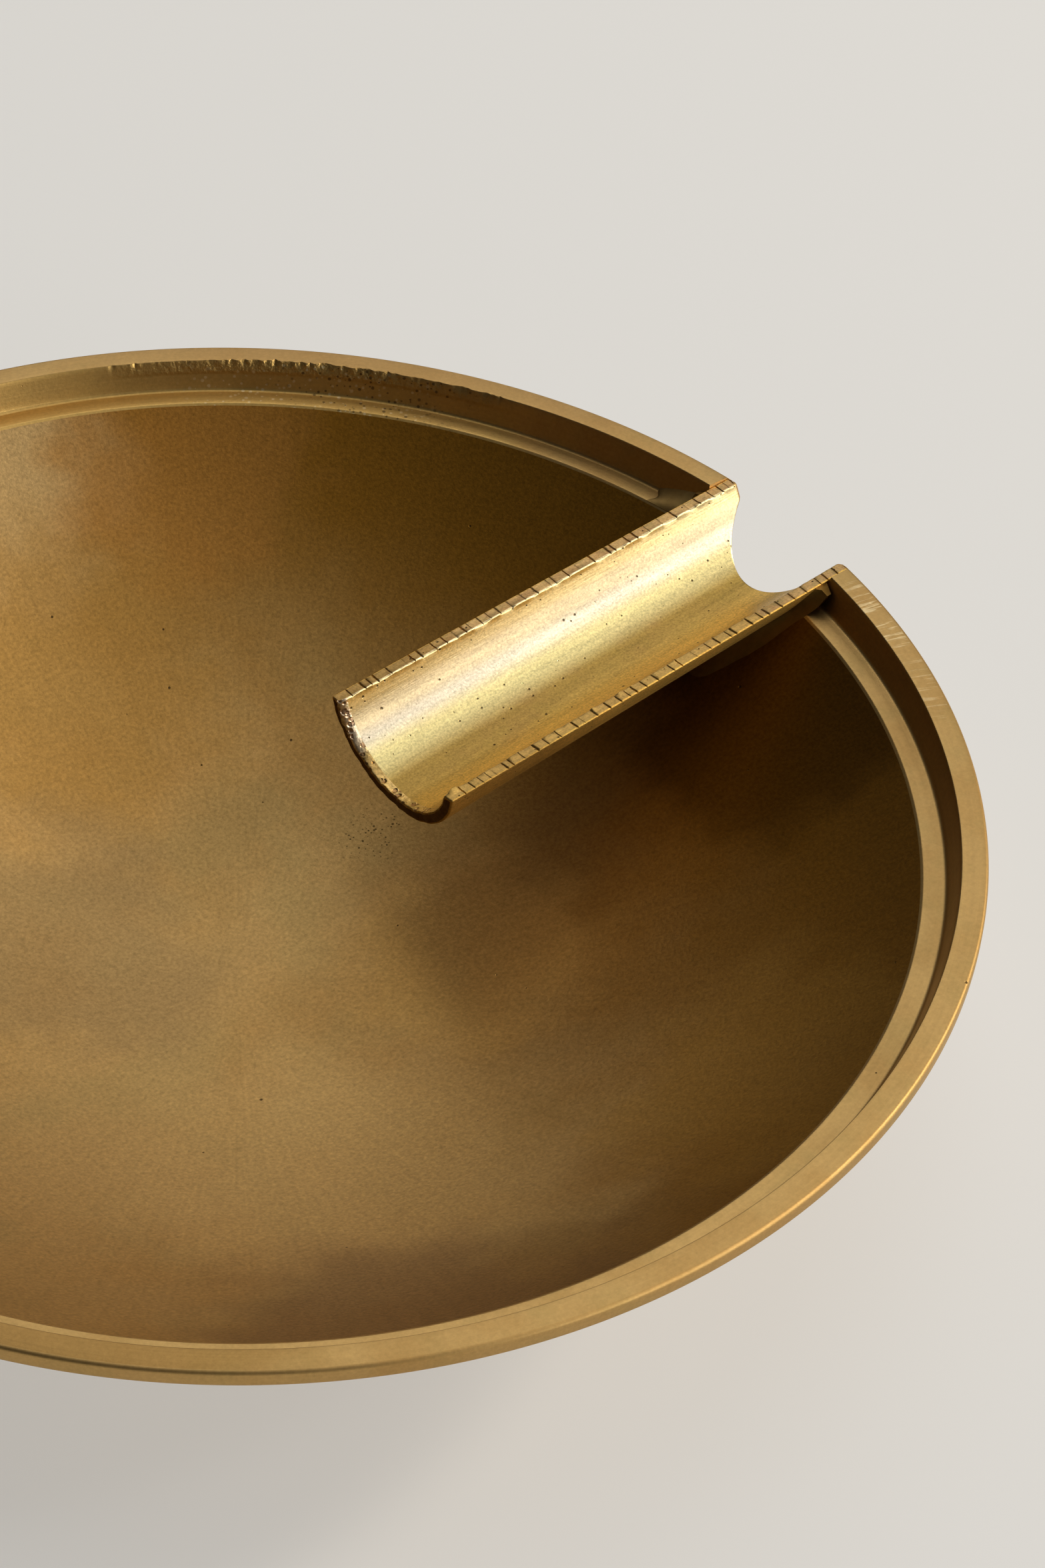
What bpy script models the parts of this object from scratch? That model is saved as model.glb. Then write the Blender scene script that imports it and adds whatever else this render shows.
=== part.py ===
"""Turned brass ashtray with a half-round cigarette rest let into its rim.

Metres, +Z up. The origin is the middle of the foot, on the table. The cigarette rest
points out along +X and slopes down towards the middle of the bowl.

Three pieces: the bowl, the rest, and the solder that joins them inside the bowl.
"""

import math

import bmesh
import bpy
from mathutils import Matrix, Vector

# Bowl, outside
RIM_RADIUS = 0.0550
BOWL_HEIGHT = 0.0220
RIM_BAND_HEIGHT = 0.0012
UNDERSIDE_ARC_RADIUS = 0.0970
FOOT_RADIUS = 0.0180
FOOT_RING_WIDTH = 0.0032
FOOT_RECESS_DEPTH = 0.0006

# Bowl, inside
RIM_LAND_WIDTH = 0.0020
REBATE_DEPTH = 0.0025
REBATE_DRAFT = 0.0008
LEDGE_WIDTH = 0.0017
FLOOR_THICKNESS = 0.0018

# Rounds on the bowl's corners
FOOT_ROUND = 0.00030
BAND_ROUND = 0.00040
RIM_ROUND = 0.00020
LAND_ROUND = 0.00015
REBATE_FILLET = 0.00040
LEDGE_ROUND = 0.00025

# Cigarette rest: a length of tube cut open along a plane below its axis
TUBE_OUTER_RADIUS = 0.0075
TUBE_WALL = 0.0010
REST_AXIS_OVER_RIM = 0.0023
REST_INNER_END = 0.0139
REST_SLOPE = math.radians(6.3)
LIP_SLOPE = math.radians(4.8)

# The joint between the two
JOINT_GAP = 0.0003
SOLDER_LEG = 0.0018
SOLDER_BELOW_LIP = 0.0002
SOLDER_HOLLOW_SHARE = 0.55
SOLDER_THINNING_SHARE = 0.60
SOLDER_THINNING_POWER = 4

# Room that a cutting body needs past the piece it cuts
CUT_OVERRUN = 0.0040

# Counts of facets
BOWL_SEGMENTS = 120
ENVELOPE_SEGMENTS = 240
UNDERSIDE_STEPS = 11
CAP_STEPS = 13
ROUND_STEPS = 3
TUBE_SEGMENTS = 64
SOLDER_STEPS = 30
SOLDER_FACE_STEPS = 5

# Doubles nearer than this are one point
MERGE_DISTANCE = 1e-7

# Edges that turn more than this stay sharp
SHARP_ANGLE = math.radians(30.0)

# Halvings that find where a line runs into the bowl
HALVINGS = 40

# Colours, linear RGB, with roughness and metallic value
BOWL_BRASS = ((0.50, 0.36, 0.17), 0.42, 1.0)
REST_BRASS = ((0.74, 0.56, 0.26), 0.30, 1.0)
SOLDER_GREY = ((0.42, 0.40, 0.34), 0.50, 1.0)

# Places that the sizes above give
LAND_INNER_RADIUS = RIM_RADIUS - RIM_LAND_WIDTH
REBATE_FOOT_RADIUS = LAND_INNER_RADIUS - REBATE_DRAFT
LEDGE_INNER_RADIUS = REBATE_FOOT_RADIUS - LEDGE_WIDTH
LEDGE_HEIGHT = BOWL_HEIGHT - REBATE_DEPTH
FLOOR_HEIGHT = FOOT_RECESS_DEPTH + FLOOR_THICKNESS
REST_RUN = RIM_RADIUS - REST_INNER_END


def clear_scene():
    """Remove whatever the file holds, so that the model stands alone."""
    for thing in list(bpy.data.objects):
        bpy.data.objects.remove(thing, do_unlink=True)


def brushed_metal(name, look):
    """Make a Principled material from a colour, a roughness and a metallic value."""
    colour, roughness, metallic = look
    material = bpy.data.materials.new(name)
    material.use_nodes = True
    shader = material.node_tree.nodes["Principled BSDF"]
    shader.inputs["Base Color"].default_value = (*colour, 1.0)
    shader.inputs["Roughness"].default_value = roughness
    shader.inputs["Metallic"].default_value = metallic
    material.diffuse_color = (*colour, 1.0)
    return material


def object_from(name, shape, material=None):
    """Turn a bmesh into an object of its own, shaded smooth between its sharp edges."""
    bmesh.ops.recalc_face_normals(shape, faces=shape.faces)
    mesh = bpy.data.meshes.new(name)
    shape.to_mesh(mesh)
    shape.free()
    mesh.shade_smooth()
    mesh.set_sharp_from_angle(angle=SHARP_ANGLE)
    thing = bpy.data.objects.new(name, mesh)
    bpy.context.collection.objects.link(thing)
    if material is not None:
        mesh.materials.append(material)
    return thing


def as_cutter(thing):
    """Mark a body that only cuts others."""
    thing.hide_render = True
    thing.display_type = "WIRE"
    return thing


def cut(thing, cutter, operation="DIFFERENCE"):
    """Add an exact Boolean to a piece."""
    boolean = thing.modifiers.new(cutter.name, "BOOLEAN")
    boolean.operation = operation
    boolean.solver = "EXACT"
    boolean.object = cutter
    return boolean


def rounded(corners):
    """Points of an outline whose corners, given as (r, z, radius), are rounded."""
    points = []
    for index, (r, z, radius) in enumerate(corners):
        corner = Vector((r, z))
        if radius == 0.0:
            points.append(corner)
            continue
        back = (Vector(corners[index - 1][:2]) - corner).normalized()
        ahead = (Vector(corners[index + 1][:2]) - corner).normalized()
        half_angle = back.angle(ahead) / 2.0
        centre = corner + (back + ahead).normalized() * (radius / math.sin(half_angle))
        start = corner + back * (radius / math.tan(half_angle)) - centre
        sweep = math.pi - 2.0 * half_angle
        turn = math.copysign(1.0, start.x * ahead.y - start.y * ahead.x)
        for step in range(ROUND_STEPS + 1):
            angle = turn * sweep * step / ROUND_STEPS
            points.append(centre + Matrix.Rotation(angle, 2) @ start)
    return points


def arc_between(start, end, radius, steps):
    """Points strictly between two, on the arc of that radius that bulges down and out."""
    chord = end - start
    middle = (start + end) / 2.0
    rise = math.sqrt(radius**2 - (chord.length / 2.0) ** 2)
    centre = middle + Vector((-chord.y, chord.x)).normalized() * rise
    first = (start - centre).normalized()
    sweep = first.angle((end - centre).normalized())
    turned = [Matrix.Rotation(sweep * step / steps, 2) @ first for step in range(1, steps)]
    return [centre + spoke * radius for spoke in turned]


def underside():
    """Points along the outside of the bowl, between its foot and its rim band."""
    start = Vector((FOOT_RADIUS, 0.0))
    end = Vector((RIM_RADIUS, BOWL_HEIGHT - RIM_BAND_HEIGHT))
    return arc_between(start, end, UNDERSIDE_ARC_RADIUS, UNDERSIDE_STEPS)


def cap_radius(edge_radius, floor_height, edge_height):
    """Radius of the ball whose cap lies level on the floor and passes the ledge's edge."""
    depth = edge_height - floor_height
    return (edge_radius**2 + depth**2) / (2.0 * depth)


def inside_corners(clearance):
    """The bowl's inside from the rim's land to its middle, moved into the hollow."""
    land = LAND_INNER_RADIUS - clearance
    foot = REBATE_FOOT_RADIUS - clearance
    edge = LEDGE_INNER_RADIUS - clearance
    ledge = LEDGE_HEIGHT + clearance
    floor = FLOOR_HEIGHT + clearance
    ball = cap_radius(edge, floor, ledge)
    corners = [(land, BOWL_HEIGHT, LAND_ROUND)]
    corners.append((foot, ledge, REBATE_FILLET))
    corners.append((edge, ledge, LEDGE_ROUND))
    widest = math.asin(edge / ball)
    for step in range(1, CAP_STEPS):
        angle = widest * (1.0 - step / CAP_STEPS)
        corners.append((ball * math.sin(angle), floor + ball * (1.0 - math.cos(angle)), 0.0))
    corners.append((0.0, floor, 0.0))
    return corners


def bowl_outline(clearance=0.0):
    """The bowl's half section, from the middle of its foot round to its floor."""
    ring_inner = FOOT_RADIUS - FOOT_RING_WIDTH
    band_foot = BOWL_HEIGHT - RIM_BAND_HEIGHT
    corners = [(0.0, FOOT_RECESS_DEPTH, 0.0), (ring_inner, FOOT_RECESS_DEPTH, 0.0)]
    corners.append((ring_inner, 0.0, 0.0))
    corners.append((FOOT_RADIUS, 0.0, FOOT_ROUND))
    corners.extend((point.x, point.y, 0.0) for point in underside())
    corners.append((RIM_RADIUS, band_foot, BAND_ROUND))
    corners.append((RIM_RADIUS, BOWL_HEIGHT, RIM_ROUND))
    corners.extend(inside_corners(clearance))
    return rounded(corners)


def lathe(outline, segments):
    """Turn a half section round the Z axis into a closed body."""
    shape = bmesh.new()
    ring = [shape.verts.new((point.x, 0.0, point.y)) for point in outline]
    edges = [shape.edges.new(pair) for pair in zip(ring, ring[1:])]
    bmesh.ops.spin(
        shape,
        geom=ring + edges,
        cent=(0.0, 0.0, 0.0),
        axis=(0.0, 0.0, 1.0),
        angle=2.0 * math.pi,
        steps=segments,
        use_merge=True,
    )
    bmesh.ops.remove_doubles(shape, verts=shape.verts, dist=MERGE_DISTANCE)
    return shape


def rest_frame():
    """The rest's own axes: X out along the tube's axis, from over the rim's edge."""
    over_rim = Matrix.Translation((RIM_RADIUS, 0.0, BOWL_HEIGHT + REST_AXIS_OVER_RIM))
    return over_rim @ Matrix.Rotation(-REST_SLOPE, 4, "Y")


def round_bar(radius, start, end, segments):
    """A closed bar along X."""
    shape = bmesh.new()
    along_x = Matrix.Rotation(math.pi / 2.0, 4, "Y")
    middle = Matrix.Translation(((start + end) / 2.0, 0.0, 0.0))
    bmesh.ops.create_cone(
        shape,
        cap_ends=True,
        segments=segments,
        radius1=radius,
        radius2=radius,
        depth=end - start,
        matrix=middle @ along_x,
    )
    return shape


def tube(outer, inner, start, end, segments):
    """A closed length of tube along X: a flat ring, drawn out."""
    shape = bmesh.new()
    upright = Matrix.Translation((start, 0.0, 0.0)) @ Matrix.Rotation(math.pi / 2.0, 4, "Y")
    edges = []
    for radius in (outer, inner):
        made = bmesh.ops.create_circle(shape, segments=segments, radius=radius, matrix=upright)
        edges.extend({edge for vert in made["verts"] for edge in vert.link_edges})
    ring = bmesh.ops.bridge_loops(shape, edges=edges)["faces"]
    drawn = bmesh.ops.extrude_face_region(shape, geom=ring)["geom"]
    moved = [part for part in drawn if isinstance(part, bmesh.types.BMVert)]
    bmesh.ops.translate(shape, verts=moved, vec=(end - start, 0.0, 0.0))
    return shape


def keep_below(shape, point, slope):
    """Cut a body with a plane that climbs along +X, keep its lower part and close it."""
    normal = Vector((-math.sin(slope), 0.0, math.cos(slope)))
    everything = [*shape.verts, *shape.edges, *shape.faces]
    sawn = bmesh.ops.bisect_plane(
        shape, geom=everything, plane_co=point, plane_no=normal, clear_outer=True
    )
    rim = [part for part in sawn["geom_cut"] if isinstance(part, bmesh.types.BMEdge)]
    bmesh.ops.holes_fill(shape, edges=rim, sides=0)


def make_bowl(material):
    """The bowl: a turned dish with a rebated rim, notched for the rest."""
    return object_from("bowl", lathe(bowl_outline(), BOWL_SEGMENTS), material)


def make_notch_cutter():
    """The bar that cuts the rest's seat through the rim."""
    radius = TUBE_OUTER_RADIUS + JOINT_GAP
    shape = round_bar(radius, -REST_RUN, RIM_LAND_WIDTH + CUT_OVERRUN, TUBE_SEGMENTS)
    bmesh.ops.transform(shape, matrix=rest_frame(), verts=shape.verts)
    return as_cutter(object_from("notch_cutter", shape))


def make_rest(material):
    """The cigarette rest: tube, sawn open along its two lips."""
    start = -REST_RUN / math.cos(REST_SLOPE)
    bore = TUBE_OUTER_RADIUS - TUBE_WALL
    shape = tube(TUBE_OUTER_RADIUS, bore, start, CUT_OVERRUN, TUBE_SEGMENTS)
    bmesh.ops.transform(shape, matrix=rest_frame(), verts=shape.verts)
    keep_below(shape, (RIM_RADIUS, 0.0, BOWL_HEIGHT), LIP_SLOPE)
    return object_from("cigarette_rest", shape, material)


def make_envelope():
    """The bowl's outside as a solid taller than the rim, which trims the rest flush."""
    top = BOWL_HEIGHT + CUT_OVERRUN
    corners = [(0.0, 0.0, 0.0), (FOOT_RADIUS, 0.0, 0.0)]
    corners.extend((point.x, point.y, 0.0) for point in underside())
    corners.append((RIM_RADIUS, BOWL_HEIGHT - RIM_BAND_HEIGHT, BAND_ROUND))
    corners.append((RIM_RADIUS, top, 0.0))
    corners.append((0.0, top, 0.0))
    shape = lathe(rounded(corners), ENVELOPE_SEGMENTS)
    return as_cutter(object_from("rim_envelope", shape))


def hollow_height(radius):
    """Height of the bowl's inside there, with the rebate bridged by a straight slope."""
    if radius < LEDGE_INNER_RADIUS:
        ball = cap_radius(LEDGE_INNER_RADIUS, FLOOR_HEIGHT, LEDGE_HEIGHT)
        return FLOOR_HEIGHT + ball - math.sqrt(ball**2 - radius**2)
    slope = REBATE_DEPTH / (LAND_INNER_RADIUS - LEDGE_INNER_RADIUS)
    return LEDGE_HEIGHT + (radius - LEDGE_INNER_RADIUS) * slope


def meeting_place(frame, distance, angle):
    """How far along the rest's axis a line beside it runs into the bowl's inside."""
    side = Vector((0.0, distance * math.cos(angle), distance * math.sin(angle)))
    near, far = -REST_RUN, RIM_LAND_WIDTH + CUT_OVERRUN
    for _ in range(HALVINGS):
        middle = (near + far) / 2.0
        point = frame @ (side + Vector((middle, 0.0, 0.0)))
        if point.z > hollow_height(point.xy.length):
            near = middle
        else:
            far = middle
    return near


def solder_section(frame, angle):
    """One slice of the solder: a hollow face between the tube and the bowl, and a back."""
    inner = TUBE_OUTER_RADIUS + JOINT_GAP
    thinning = SOLDER_THINNING_SHARE * math.cos(angle) ** SOLDER_THINNING_POWER
    leg = SOLDER_LEG * (1.0 - thinning)
    outer = inner + leg
    corner = Vector((inner, meeting_place(frame, inner, angle)))
    on_tube = corner - Vector((0.0, leg))
    on_bowl = Vector((outer, meeting_place(frame, outer, angle)))
    pull = on_tube.lerp(on_bowl, 0.5).lerp(corner, SOLDER_HOLLOW_SHARE)
    slice_points = []
    for step in range(SOLDER_FACE_STEPS + 1):
        share = step / SOLDER_FACE_STEPS
        slice_points.append(on_tube.lerp(pull, share).lerp(pull.lerp(on_bowl, share), share))
    slice_points.append(on_bowl + Vector((0.0, SOLDER_LEG)))
    slice_points.append(Vector((inner - SOLDER_LEG / 2.0, corner.y + SOLDER_LEG)))
    slice_points.append(Vector((inner - SOLDER_LEG / 2.0, on_tube.y)))
    placed = []
    for distance, along in slice_points:
        side = Vector((along, distance * math.cos(angle), distance * math.sin(angle)))
        placed.append(frame @ side)
    return placed


def make_solder(material):
    """The solder: a fillet that runs under the rest from lip to lip, inside the bowl."""
    frame = rest_frame()
    shape = bmesh.new()
    rings = []
    for step in range(SOLDER_STEPS + 1):
        angle = -math.pi * step / SOLDER_STEPS
        rings.append([shape.verts.new(point) for point in solder_section(frame, angle)])
    for ring, following in zip(rings, rings[1:]):
        for index in range(len(ring)):
            after = (index + 1) % len(ring)
            shape.faces.new((ring[index], ring[after], following[after], following[index]))
    shape.faces.new(rings[0])
    shape.faces.new(rings[-1])
    lowered = (RIM_RADIUS, 0.0, BOWL_HEIGHT - SOLDER_BELOW_LIP)
    keep_below(shape, lowered, LIP_SLOPE)
    return object_from("solder_fillet", shape, material)


def make_bowl_keep_out():
    """The bowl without its notch, grown into its hollow, which the solder stays out of."""
    shape = lathe(bowl_outline(JOINT_GAP), BOWL_SEGMENTS)
    return as_cutter(object_from("bowl_keep_out", shape))


def build():
    """Make the pieces and the bodies that cut them."""
    clear_scene()
    bowl = make_bowl(brushed_metal("bowl_brass", BOWL_BRASS))
    rest = make_rest(brushed_metal("rest_brass", REST_BRASS))
    solder = make_solder(brushed_metal("solder_grey", SOLDER_GREY))
    notch = make_notch_cutter()
    cut(bowl, notch)
    cut(rest, make_envelope(), "INTERSECT")
    cut(solder, make_bowl_keep_out())
    cut(solder, notch)


build()
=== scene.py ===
"""Looks of a turned brass ashtray with a half-round cigarette rest soldered into its rim.

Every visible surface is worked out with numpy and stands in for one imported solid, in the
same frame: metres, +Z up, the origin in the middle of the foot. The cigarette rest points
out along +X.
"""

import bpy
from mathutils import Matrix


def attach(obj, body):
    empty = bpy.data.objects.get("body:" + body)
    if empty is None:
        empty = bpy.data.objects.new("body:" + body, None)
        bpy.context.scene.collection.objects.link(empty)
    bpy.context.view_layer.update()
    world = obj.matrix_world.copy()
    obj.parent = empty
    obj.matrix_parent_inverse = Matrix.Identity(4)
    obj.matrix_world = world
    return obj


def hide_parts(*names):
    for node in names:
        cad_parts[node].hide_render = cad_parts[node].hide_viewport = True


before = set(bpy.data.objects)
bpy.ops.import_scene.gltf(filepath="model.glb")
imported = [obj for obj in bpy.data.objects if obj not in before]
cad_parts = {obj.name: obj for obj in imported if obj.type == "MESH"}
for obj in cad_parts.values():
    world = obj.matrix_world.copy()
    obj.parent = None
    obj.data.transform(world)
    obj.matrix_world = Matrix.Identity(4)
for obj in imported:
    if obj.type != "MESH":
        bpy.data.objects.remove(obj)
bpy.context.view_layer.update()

import logging
import math
from collections.abc import Callable, Sequence
from dataclasses import dataclass, field, replace
from enum import Enum

import bmesh
import bpy
import numpy as np
from mathutils import Matrix, Vector

LOG = logging.getLogger("ashtray")
BODY = "root"
WELD_DISTANCE = 2e-7
SHARP_ANGLE = math.radians(32.0)
SEAM_MAP = "along_the_surface"
QUARTER_TURN = math.pi / 2.0
HALVINGS = 30
WANDER_SINES = 9
WANDER_OCTAVES = 3.0
WANDER_GAIN = 2.0


class Slot(Enum):
    """The record's material slots."""

    BOWL = "bowl_brass"
    REST = "rest_brass"
    SOLDER = "solder_grey"


class Zone(Enum):
    """The parts of a piece that have a finish of their own, in the order of its materials."""

    OUTSIDE = 0
    RIM = 1
    INSIDE = 2
    CUT = 3
    WORN = 4


# Surfaces


@dataclass(frozen=True)
class Corner:
    """One corner of an outline, with the radius that rounds it."""

    r: float
    z: float
    radius: float = 0.0


@dataclass
class Patch:
    """A grid of points with its surface map.

    Attributes:
        points: Places, shaped (rows, columns, 3).
        seams: Map coordinates, shaped (rows, columns, 2), in metres along the surface.
        zones: Zone value of each row of faces, shaped (rows - 1,), or one value for all.
    """

    points: np.ndarray
    seams: np.ndarray
    zones: np.ndarray | int = 0


def arc_steps(radius: float, sweep: float, spacing: float, least: int = 3) -> int:
    """Number of chords that an arc needs for a given spacing.

    Args:
        radius: Radius of the arc.
        sweep: Angle that it turns through.
        spacing: Wanted length of a chord.
        least: The fewest chords that it may have.

    Returns:
        The number of chords.
    """
    return max(least, math.ceil(abs(radius * sweep) / spacing))


def round_off(before: Corner, corner: Corner, after: Corner, spacing: float) -> np.ndarray:
    """Points of the arc that rounds one corner.

    The centre lies on the corner's bisector, at radius / sin(half the corner's angle). The
    arc starts where a perpendicular from there meets the side that comes in, and turns
    through pi less the corner's angle.

    Args:
        before: The corner before it.
        corner: The corner that is rounded.
        after: The corner after it.
        spacing: Wanted distance between points.

    Returns:
        Points shaped (count, 2).
    """
    here = np.array([corner.r, corner.z])
    if corner.radius == 0.0:
        return here[None, :]
    back = np.array([before.r, before.z]) - here
    ahead = np.array([after.r, after.z]) - here
    back /= np.linalg.norm(back)
    ahead /= np.linalg.norm(ahead)
    half = 0.5 * math.acos(float(np.clip(back @ ahead, -1.0, 1.0)))
    bisector = (back + ahead) / np.linalg.norm(back + ahead)
    centre = here + bisector * corner.radius / math.sin(half)
    start = here + back * corner.radius / math.tan(half) - centre
    sweep = math.pi - 2.0 * half
    turn = math.copysign(1.0, start[0] * ahead[1] - start[1] * ahead[0])
    angles = turn * np.linspace(0.0, sweep, arc_steps(corner.radius, sweep, spacing) + 1)
    cosines, sines = np.cos(angles), np.sin(angles)
    r = start[0] * cosines - start[1] * sines
    z = start[0] * sines + start[1] * cosines
    return centre + np.stack([r, z], axis=1)


def chain(corners: list[Corner], spacing: float, round_spacing: float) -> np.ndarray:
    """An outline with rounded corners and evenly divided straight sides.

    Args:
        corners: Its corners in order.
        spacing: Longest side left undivided.
        round_spacing: Distance between points on the rounds.

    Returns:
        Points shaped (count, 2).
    """
    ends = [corners[0], *corners, corners[-1]]
    parts = [round_off(*ends[place : place + 3], round_spacing) for place in range(len(corners))]
    joined = [parts[0]]
    for part in parts[1:]:
        start, end = joined[-1][-1], part[0]
        count = max(1, math.ceil(float(np.linalg.norm(end - start)) / spacing))
        shares = np.linspace(0.0, 1.0, count + 1)[1:-1, None]
        joined.append(start + shares * (end - start))
        joined.append(part)
    return np.concatenate([part for part in joined if len(part)])


def running_length(points: np.ndarray) -> np.ndarray:
    """Distance along a chain of points from its start, shaped (count,)."""
    steps = np.linalg.norm(np.diff(points, axis=0), axis=1)
    return np.concatenate([[0.0], np.cumsum(steps)])


def turned(outline: np.ndarray, angles: np.ndarray, zones: np.ndarray) -> Patch:
    """An outline turned round the Z axis.

    A point (r, z) at angle a lies at (r cos a, r sin a, z). The map holds the angle times
    the outline's greatest radius, and the length along the outline.

    Args:
        outline: Points (r, z), shaped (rows, 2).
        angles: Angles of the columns, the last one a whole turn after the first.
        zones: Zone value of each row of faces.

    Returns:
        The surface as a patch.
    """
    r, z = outline[:, :1], outline[:, 1:]
    across = np.broadcast_to(z, (len(outline), len(angles)))
    points = np.stack([r * np.cos(angles), r * np.sin(angles), across], axis=2)
    along = np.broadcast_to(running_length(outline)[:, None], across.shape)
    round_about = np.broadcast_to(angles * outline[:, 0].max(), across.shape)
    return Patch(points, np.stack([round_about, along], axis=2), zones)


def stitched(name: str, patches: list[Patch],
             materials: Sequence[bpy.types.Material]) -> bpy.types.Mesh:
    """Put patches into one mesh, with a quad between neighbours in their rows and columns.

    Args:
        name: Name of the mesh.
        patches: Its patches.
        materials: One material for each zone, in order.

    Returns:
        The mesh, in which each patch still has points of its own along its edges.
    """
    mesh = bpy.data.meshes.new(name)
    for material in materials:
        mesh.materials.append(material)
    points, loops, seams, zones, offset = [], [], [], [], 0
    for patch in patches:
        rows, columns = patch.points.shape[:2]
        index = np.arange(rows * columns).reshape(rows, columns)
        quads = np.stack([index[:-1, :-1], index[:-1, 1:], index[1:, 1:], index[1:, :-1]], axis=2)
        quads = quads.reshape(-1, 4)
        points.append(patch.points.reshape(-1, 3))
        seams.append(patch.seams.reshape(-1, 2)[quads].reshape(-1, 2))
        loops.append(quads.ravel() + offset)
        row_zones = np.broadcast_to(np.asarray(patch.zones), (rows - 1,))
        zones.append(np.repeat(row_zones, columns - 1))
        offset += rows * columns
    corners = np.concatenate(loops)
    mesh.vertices.add(offset)
    mesh.loops.add(len(corners))
    mesh.polygons.add(len(corners) // 4)
    mesh.vertices.foreach_set("co", np.concatenate(points).astype(np.float32).ravel())
    mesh.loops.foreach_set("vertex_index", corners.astype(np.int32))
    mesh.polygons.foreach_set("loop_start", np.arange(0, len(corners), 4, dtype=np.int32))
    mesh.polygons.foreach_set("material_index", np.concatenate(zones).astype(np.int32))
    layer = mesh.uv_layers.new(name=SEAM_MAP)
    layer.data.foreach_set("uv", np.concatenate(seams).astype(np.float32).ravel())
    mesh.update(calc_edges=True)
    return mesh


def weld(name: str, patches: list[Patch],
         materials: Sequence[bpy.types.Material] = ()) -> bpy.types.Mesh:
    """Join patches into one closed mesh whose faces point outwards.

    Points that lie on each other become one, so that seams and poles close, and faces that
    this flattens go.

    Args:
        name: Name of the mesh.
        patches: Its patches.
        materials: One material for each zone, in order.

    Returns:
        The mesh, shaded smooth between its sharp edges.
    """
    mesh = stitched(name, patches, materials)
    shape = bmesh.new()
    shape.from_mesh(mesh)
    bmesh.ops.remove_doubles(shape, verts=shape.verts, dist=WELD_DISTANCE)
    bmesh.ops.dissolve_degenerate(shape, edges=shape.edges, dist=WELD_DISTANCE)
    bmesh.ops.recalc_face_normals(shape, faces=shape.faces)
    shape.to_mesh(mesh)
    shape.free()
    soften(mesh)
    return mesh


def soften(mesh: bpy.types.Mesh) -> None:
    """Shade a mesh smooth, but for the edges that turn more sharply than the sharp angle."""
    mesh.shade_smooth()
    mesh.set_sharp_from_angle(angle=SHARP_ANGLE)


def put_in_scene(name: str, mesh: bpy.types.Mesh) -> bpy.types.Object:
    """Link a mesh to the scene as an object at the origin, unturned and unscaled.

    Args:
        name: Name of the object.
        mesh: Its mesh.

    Returns:
        The object.
    """
    piece = bpy.data.objects.new(name, mesh)
    bpy.context.scene.collection.objects.link(piece)
    return piece


def enlist(piece: bpy.types.Object, node: str) -> None:
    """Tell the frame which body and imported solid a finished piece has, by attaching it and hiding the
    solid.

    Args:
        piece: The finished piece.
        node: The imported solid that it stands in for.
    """
    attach(piece, BODY)
    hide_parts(node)
    LOG.info("%s: %d faces, stands for %s", piece.name, len(piece.data.polygons), node)


def bumps_along(places: np.ndarray, centres: np.ndarray, widths: np.ndarray) -> np.ndarray:
    """Bell curves of height 1 along a line: exp of minus ((place - centre) / width) squared.

    Args:
        places: Where they are read, in any shape.
        centres: Their middles, shaped (count,).
        widths: Their widths, shaped (count,).

    Returns:
        One value for each place and bell, shaped (*places.shape, count).
    """
    return np.exp(-(((places[..., None] - centres) / widths) ** 2))


def wander(places: np.ndarray, length: float, rng: np.random.Generator) -> np.ndarray:
    """A smooth random line, mostly between -1 and 1.

    It is the mean of a few sines of random length and phase, times a gain. Their waves are
    as long as the given length or up to three octaves longer.

    Args:
        places: Where it is read.
        length: The shortest wave in it.
        rng: Source of the random values.

    Returns:
        Values shaped as places.
    """
    waves = length * 2.0 ** rng.uniform(0.0, WANDER_OCTAVES, WANDER_SINES)
    phases = rng.uniform(0.0, math.tau, WANDER_SINES)
    return np.sin(math.tau * places[..., None] / waves + phases).mean(axis=-1) * WANDER_GAIN


def round_drop(distance: np.ndarray, radius: float) -> np.ndarray:
    """How far a quarter round falls away: radius - root(radius squared - depth squared).

    Args:
        distance: Distance from the end that is rounded.
        radius: Radius of the round. The depth is this less the distance, and no less than 0.

    Returns:
        The drop, which is the radius at the end and 0 past the round.
    """
    depth = np.clip(radius - distance, 0.0, radius)
    return radius - np.sqrt(np.maximum(radius**2 - depth**2, 0.0))


def halved(near: np.ndarray, far: np.ndarray, holds: Callable[[np.ndarray], np.ndarray]) -> np.ndarray:
    """Where a test stops holding between two places, found by halving the stretch.

    Args:
        near: Places at which it holds.
        far: Places at which it no longer does.
        holds: The test, which takes places and says for each whether it holds.

    Returns:
        The last places at which it was found to hold.
    """
    for _ in range(HALVINGS):
        middle = (near + far) / 2.0
        held = holds(middle)
        near = np.where(held, middle, near)
        far = np.where(held, far, middle)
    return near


# The bowl


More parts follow.
